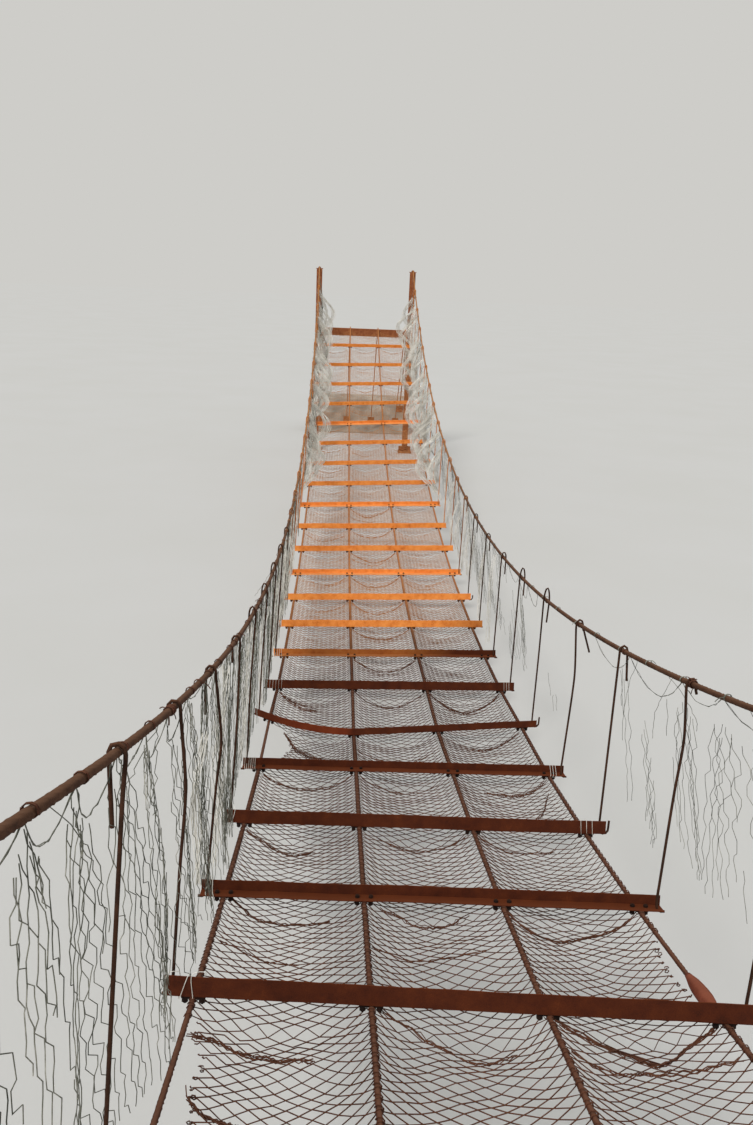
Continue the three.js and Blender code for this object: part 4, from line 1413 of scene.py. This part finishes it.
def add_ties():
    rng = random.Random(9)
    rusty = []
    light = []
    for y, _ in SIDE_TIES[-1]:
        rusty += tie_routes(-1, y, rng.uniform(2, 3), 0.0009, rng.randint(0, 1), rng)
        if rng.random() < 0.25:
            rusty += tie_routes(-1, y + rng.uniform(0.06, 0.2), 2, 0.002, 1, rng)
    for number in range(1, BEAM_COUNT + 1):
        for part in (0.0, 0.5):
            y = beam_y(number) + BAY * part + rng.uniform(0.03, 0.12)
            light += tie_routes(1, y, 2, 0.0005, rng.randint(0, 1), rng)
        rusty += tie_routes(1, beam_y(number) - 0.02, rng.uniform(2, 3), 0.0015, rng.randint(0, 1), rng)
    # The photograph shows two tangles, before crossbeam_05 on the right and crossbeam_04 on the left.
    rusty += tie_routes(1, beam_y(5) - 0.03, 7, 0.005, 4, rng)
    rusty += tie_routes(-1, beam_y(4) - 0.03, 6, 0.004, 4, rng)
    mesh = wire_mesh("cable_ties", rusty, TIE_RADIUS, 4)
    add_piece("cable_ties", mesh, net_rust)
    mesh = wire_mesh("light_cable_ties", light, LIGHT_TIE_RADIUS, 4)
    add_piece("light_cable_ties", mesh, zinc_wire)


# Wire wound on crossbeam ends: crossbeam, side, turns, length along it, start from the middle and slackness
BEAM_WRAPS = (
    (4, -1, 2, -0.1, 0.99, 0.03),
    (4, -1, 1, -0.03, 0.9, 0.04),
    (5, -1, 2, -0.06, 0.995, 0.02),
    (5, -1, 2, -0.03, 0.99, 0.05),
    (6, -1, 2, -0.04, 0.99, 0.03),
    (7, -1, 6, -0.075, 0.992, 0.0),
    (9, -1, 6, -0.14, 0.985, 0.0),
    (10, -1, 4, -0.07, 0.985, 0.0),
    (6, 1, 3, -0.09, 0.93, 0.0),
    (7, 1, 3, -0.05, 0.95, 0.0),
    (9, 1, 3, -0.06, 0.96, 0.0),
)


def beam_wrap_route(number, side, turns, length, start, slackness):
    """Wire wound round an angle, close or in slack, rounded turns."""
    flange, leg = flange_and_leg(number)
    reach = flange / 2 + 0.003
    top = leg + 0.003
    over = ((-reach, -0.004), (-reach, top), (-reach + 0.012, top + 0.001))
    corners = (*over, (reach, 0.012), (reach, -0.004))
    flip = -1 if lip_is_near(number) else 1
    count = turns * len(corners)
    route = []
    for index in range(count):
        y, z = corners[index % len(corners)]
        x = start + length * index / count + slackness * ripple(index * 0.7, number)
        slack = 1 + 14 * slackness * abs(ripple(index * 0.9, number, 4.0))
        route.append(tuple(on_beam(number, side * x, flip * y * slack, z * slack)))
    return [tuple(point) for point in smooth_route(route, 0.008)] if slackness else route


def add_beam_wraps():
    routes = [beam_wrap_route(*wrap) for wrap in BEAM_WRAPS]
    mesh = wire_mesh("beam_end_wires", routes, BEAM_WIRE_RADIUS, 4)
    add_piece("beam_end_wires", mesh, white_wire)


# End supports
def post_mesh(name, side, y, height, sill_bottom):
    """A box post: base plate, gussets and foot bolts, a cap with two cheeks and the sill's bracket."""
    x = side * RIGHT_MAIN_X
    shaft = height - POST_CAP_THICKNESS
    cap_z = height - POST_CAP_THICKNESS / 2
    bm = bmesh.new()
    bevelled_box(bm, (POST_SIZE, POST_SIZE, shaft), (x, y, shaft / 2), 0.008)
    bevelled_box(bm, (POST_BASE, POST_BASE, POST_BASE_THICKNESS), (x, y, POST_BASE_THICKNESS / 2))
    bevelled_box(bm, (POST_CAP_WIDTH, POST_CAP_LENGTH, POST_CAP_THICKNESS), (x, y, cap_z))
    for end in (-1, 1):
        bevelled_box(bm, CHEEK, (x + end * CHEEK_OFF_CENTRE, y, height + CHEEK_RISE))
        along = (GUSSET_THICKNESS, GUSSET_LENGTH, GUSSET_HEIGHT)
        bevelled_box(bm, along, (x, y + end * 0.001, GUSSET_Z), 0.002)
        across = (GUSSET_LENGTH, GUSSET_THICKNESS, GUSSET_HEIGHT)
        bevelled_box(bm, across, (x, y + end * GUSSET_OFF_CENTRE, GUSSET_Z), 0.002)
    seat = (x - side * (POST_SIZE + SEAT_BRACKET) / 2, y, sill_bottom - GAP - SEAT_BRACKET / 2)
    bevelled_box(bm, (SEAT_BRACKET, SILL_WIDTH, SEAT_BRACKET), seat)
    for bolt_x in (x - FOOT_BOLT_OFF_CENTRE, x + FOOT_BOLT_OFF_CENTRE):
        for bolt_y in (y - FOOT_BOLT_OFF_CENTRE, y + FOOT_BOLT_OFF_CENTRE):
            upright_bar(bm, FOOT_NUT_RADIUS, (bolt_x, bolt_y), *FOOT_NUT, 6)
            upright_bar(bm, FOOT_STUD_RADIUS, (bolt_x, bolt_y), *FOOT_STUD, 12)
    return mesh_of(bm, name)


def add_posts():
    saddle_top = rail_height(HALF_SPAN) - MAIN_RADIUS - GAP
    sill_top = deck_height(HALF_SPAN) - SILL_ROPE_DIAMETER - 2 * GAP
    sill_length = 2 * (RIGHT_MAIN_X - POST_SIZE / 2 - GAP)
    for end, which in ((-1, "near"), (1, "far")):
        y = end * HALF_SPAN
        for side, word in ((-1, "left"), (1, "right")):
            name = f"{which}_{word}_post"
            mesh = post_mesh(name, side, y, saddle_top, sill_top - SILL_HEIGHT)
            add_piece("plated_" + name, mesh, post_rust, (name,), smooth=False)
        bm = bmesh.new()
        bevelled_box(bm, (sill_length, SILL_WIDTH, SILL_HEIGHT), (0, y, sill_top - SILL_HEIGHT / 2), 0.005)
        name = f"{which}_sill_beam"
        mesh = mesh_of(bm, name)
        add_piece("bevelled_" + name, mesh, post_rust, (name,), smooth=False)


def add_anchor_blocks():
    entries = [(x, DECK_ENTRY_HEIGHT) for x in DECK_ROPE_X]
    entries += [(side * RIGHT_MAIN_X, MAIN_ENTRY_HEIGHT) for side in (-1, 1)]
    for end, which in ((-1, "near"), (1, "far")):
        face = end * (HALF_SPAN + BLOCK_START)
        bm = bmesh.new()
        centre = (0, face + end * BLOCK_LENGTH / 2, BLOCK_HEIGHT / 2)
        bevelled_box(bm, (BLOCK_WIDTH, BLOCK_LENGTH, BLOCK_HEIGHT), centre, 0.02)
        name = f"{which}_anchor_block"
        add_piece("cast_" + name, mesh_of(bm, name), concrete, (name,), smooth=False)
        bm = bmesh.new()
        for x, height in entries:
            bevelled_box(bm, BEARING_PLATE, (x, face - end * BEARING_PLATE_OUT, height), 0.002)
        name = f"{which}_bearing_plates"
        add_piece(name, mesh_of(bm, name), post_rust, smooth=False)


# Camera, light and floor
CAMERA_PLACE = (-0.4678, -10.9737, 3.8969)
LOOKING_DOWN = math.radians(15.8515)
TURNED_RIGHT = math.radians(2.3836)
CAMERA_TILT = math.radians(2.4322)
FOCAL_PX = 1025.67
PHOTO_HEIGHT_PX = 1125
SENSOR_MM = 36
FLOOR_HALF = 150


def add_camera():
    """Stands inside the near end at eye height, looks down and a little right, and is tilted a little."""
    ahead = Vector((math.sin(TURNED_RIGHT), math.cos(TURNED_RIGHT), 0))
    right = Vector((math.cos(TURNED_RIGHT), -math.sin(TURNED_RIGHT), 0))
    forward = ahead * math.cos(LOOKING_DOWN) - Vector((0, 0, math.sin(LOOKING_DOWN)))
    up = right.cross(forward)
    tilted_right = right * math.cos(CAMERA_TILT) + up * math.sin(CAMERA_TILT)
    tilted_up = up * math.cos(CAMERA_TILT) - right * math.sin(CAMERA_TILT)
    matrix = Matrix((tilted_right, tilted_up, -forward)).transposed().to_4x4()
    matrix.translation = CAMERA_PLACE
    data = bpy.data.cameras.new("camera")
    data.sensor_width = SENSOR_MM
    data.lens = FOCAL_PX / PHOTO_HEIGHT_PX * SENSOR_MM
    data.clip_end = 400
    camera = bpy.data.objects.new("camera", data)
    camera.matrix_world = matrix
    bpy.context.scene.collection.objects.link(camera)
    bpy.context.scene.camera = camera


def add_floor():
    bm = bmesh.new()
    bmesh.ops.create_grid(bm, x_segments=1, y_segments=1, size=FLOOR_HALF)
    mesh = mesh_of(bm, "floor")
    mesh.materials.append(new_finish("matt_floor", matt_grey))
    floor = bpy.data.objects.new("floor", mesh)
    bpy.context.scene.collection.objects.link(floor)


def add_key_light():
    """A wide, slightly warm sun from behind the camera's left shoulder."""
    data = bpy.data.lights.new("key", "SUN")
    data.energy = 2.2
    data.angle = math.radians(12)
    data.color = (1.0, 0.95, 0.88)
    light = bpy.data.objects.new("key", data)
    light.location = (-5, -8, 12)
    aim = Vector((0, 2, 0)) - light.location
    light.rotation_euler = aim.to_track_quat("-Z", "Y").to_euler()
    bpy.context.scene.collection.objects.link(light)


def add_studio():
    world = bpy.data.worlds.new("studio")
    bpy.context.scene.world = world
    world.use_nodes = True
    background = world.node_tree.nodes["Background"]
    background.inputs["Color"].default_value = linear("#cecdc9")
    background.inputs["Strength"].default_value = 1.0
    bpy.context.scene.view_settings.view_transform = "Standard"


add_camera()
add_studio()
add_key_light()
add_floor()
add_crossbeams()
add_ropes()
add_splice_sleeve()
add_clamps()
add_hanger_rods()
add_deck_nets()
add_gathers()
add_side_nets()
add_ties()
add_beam_wraps()
add_posts()
add_anchor_blocks()
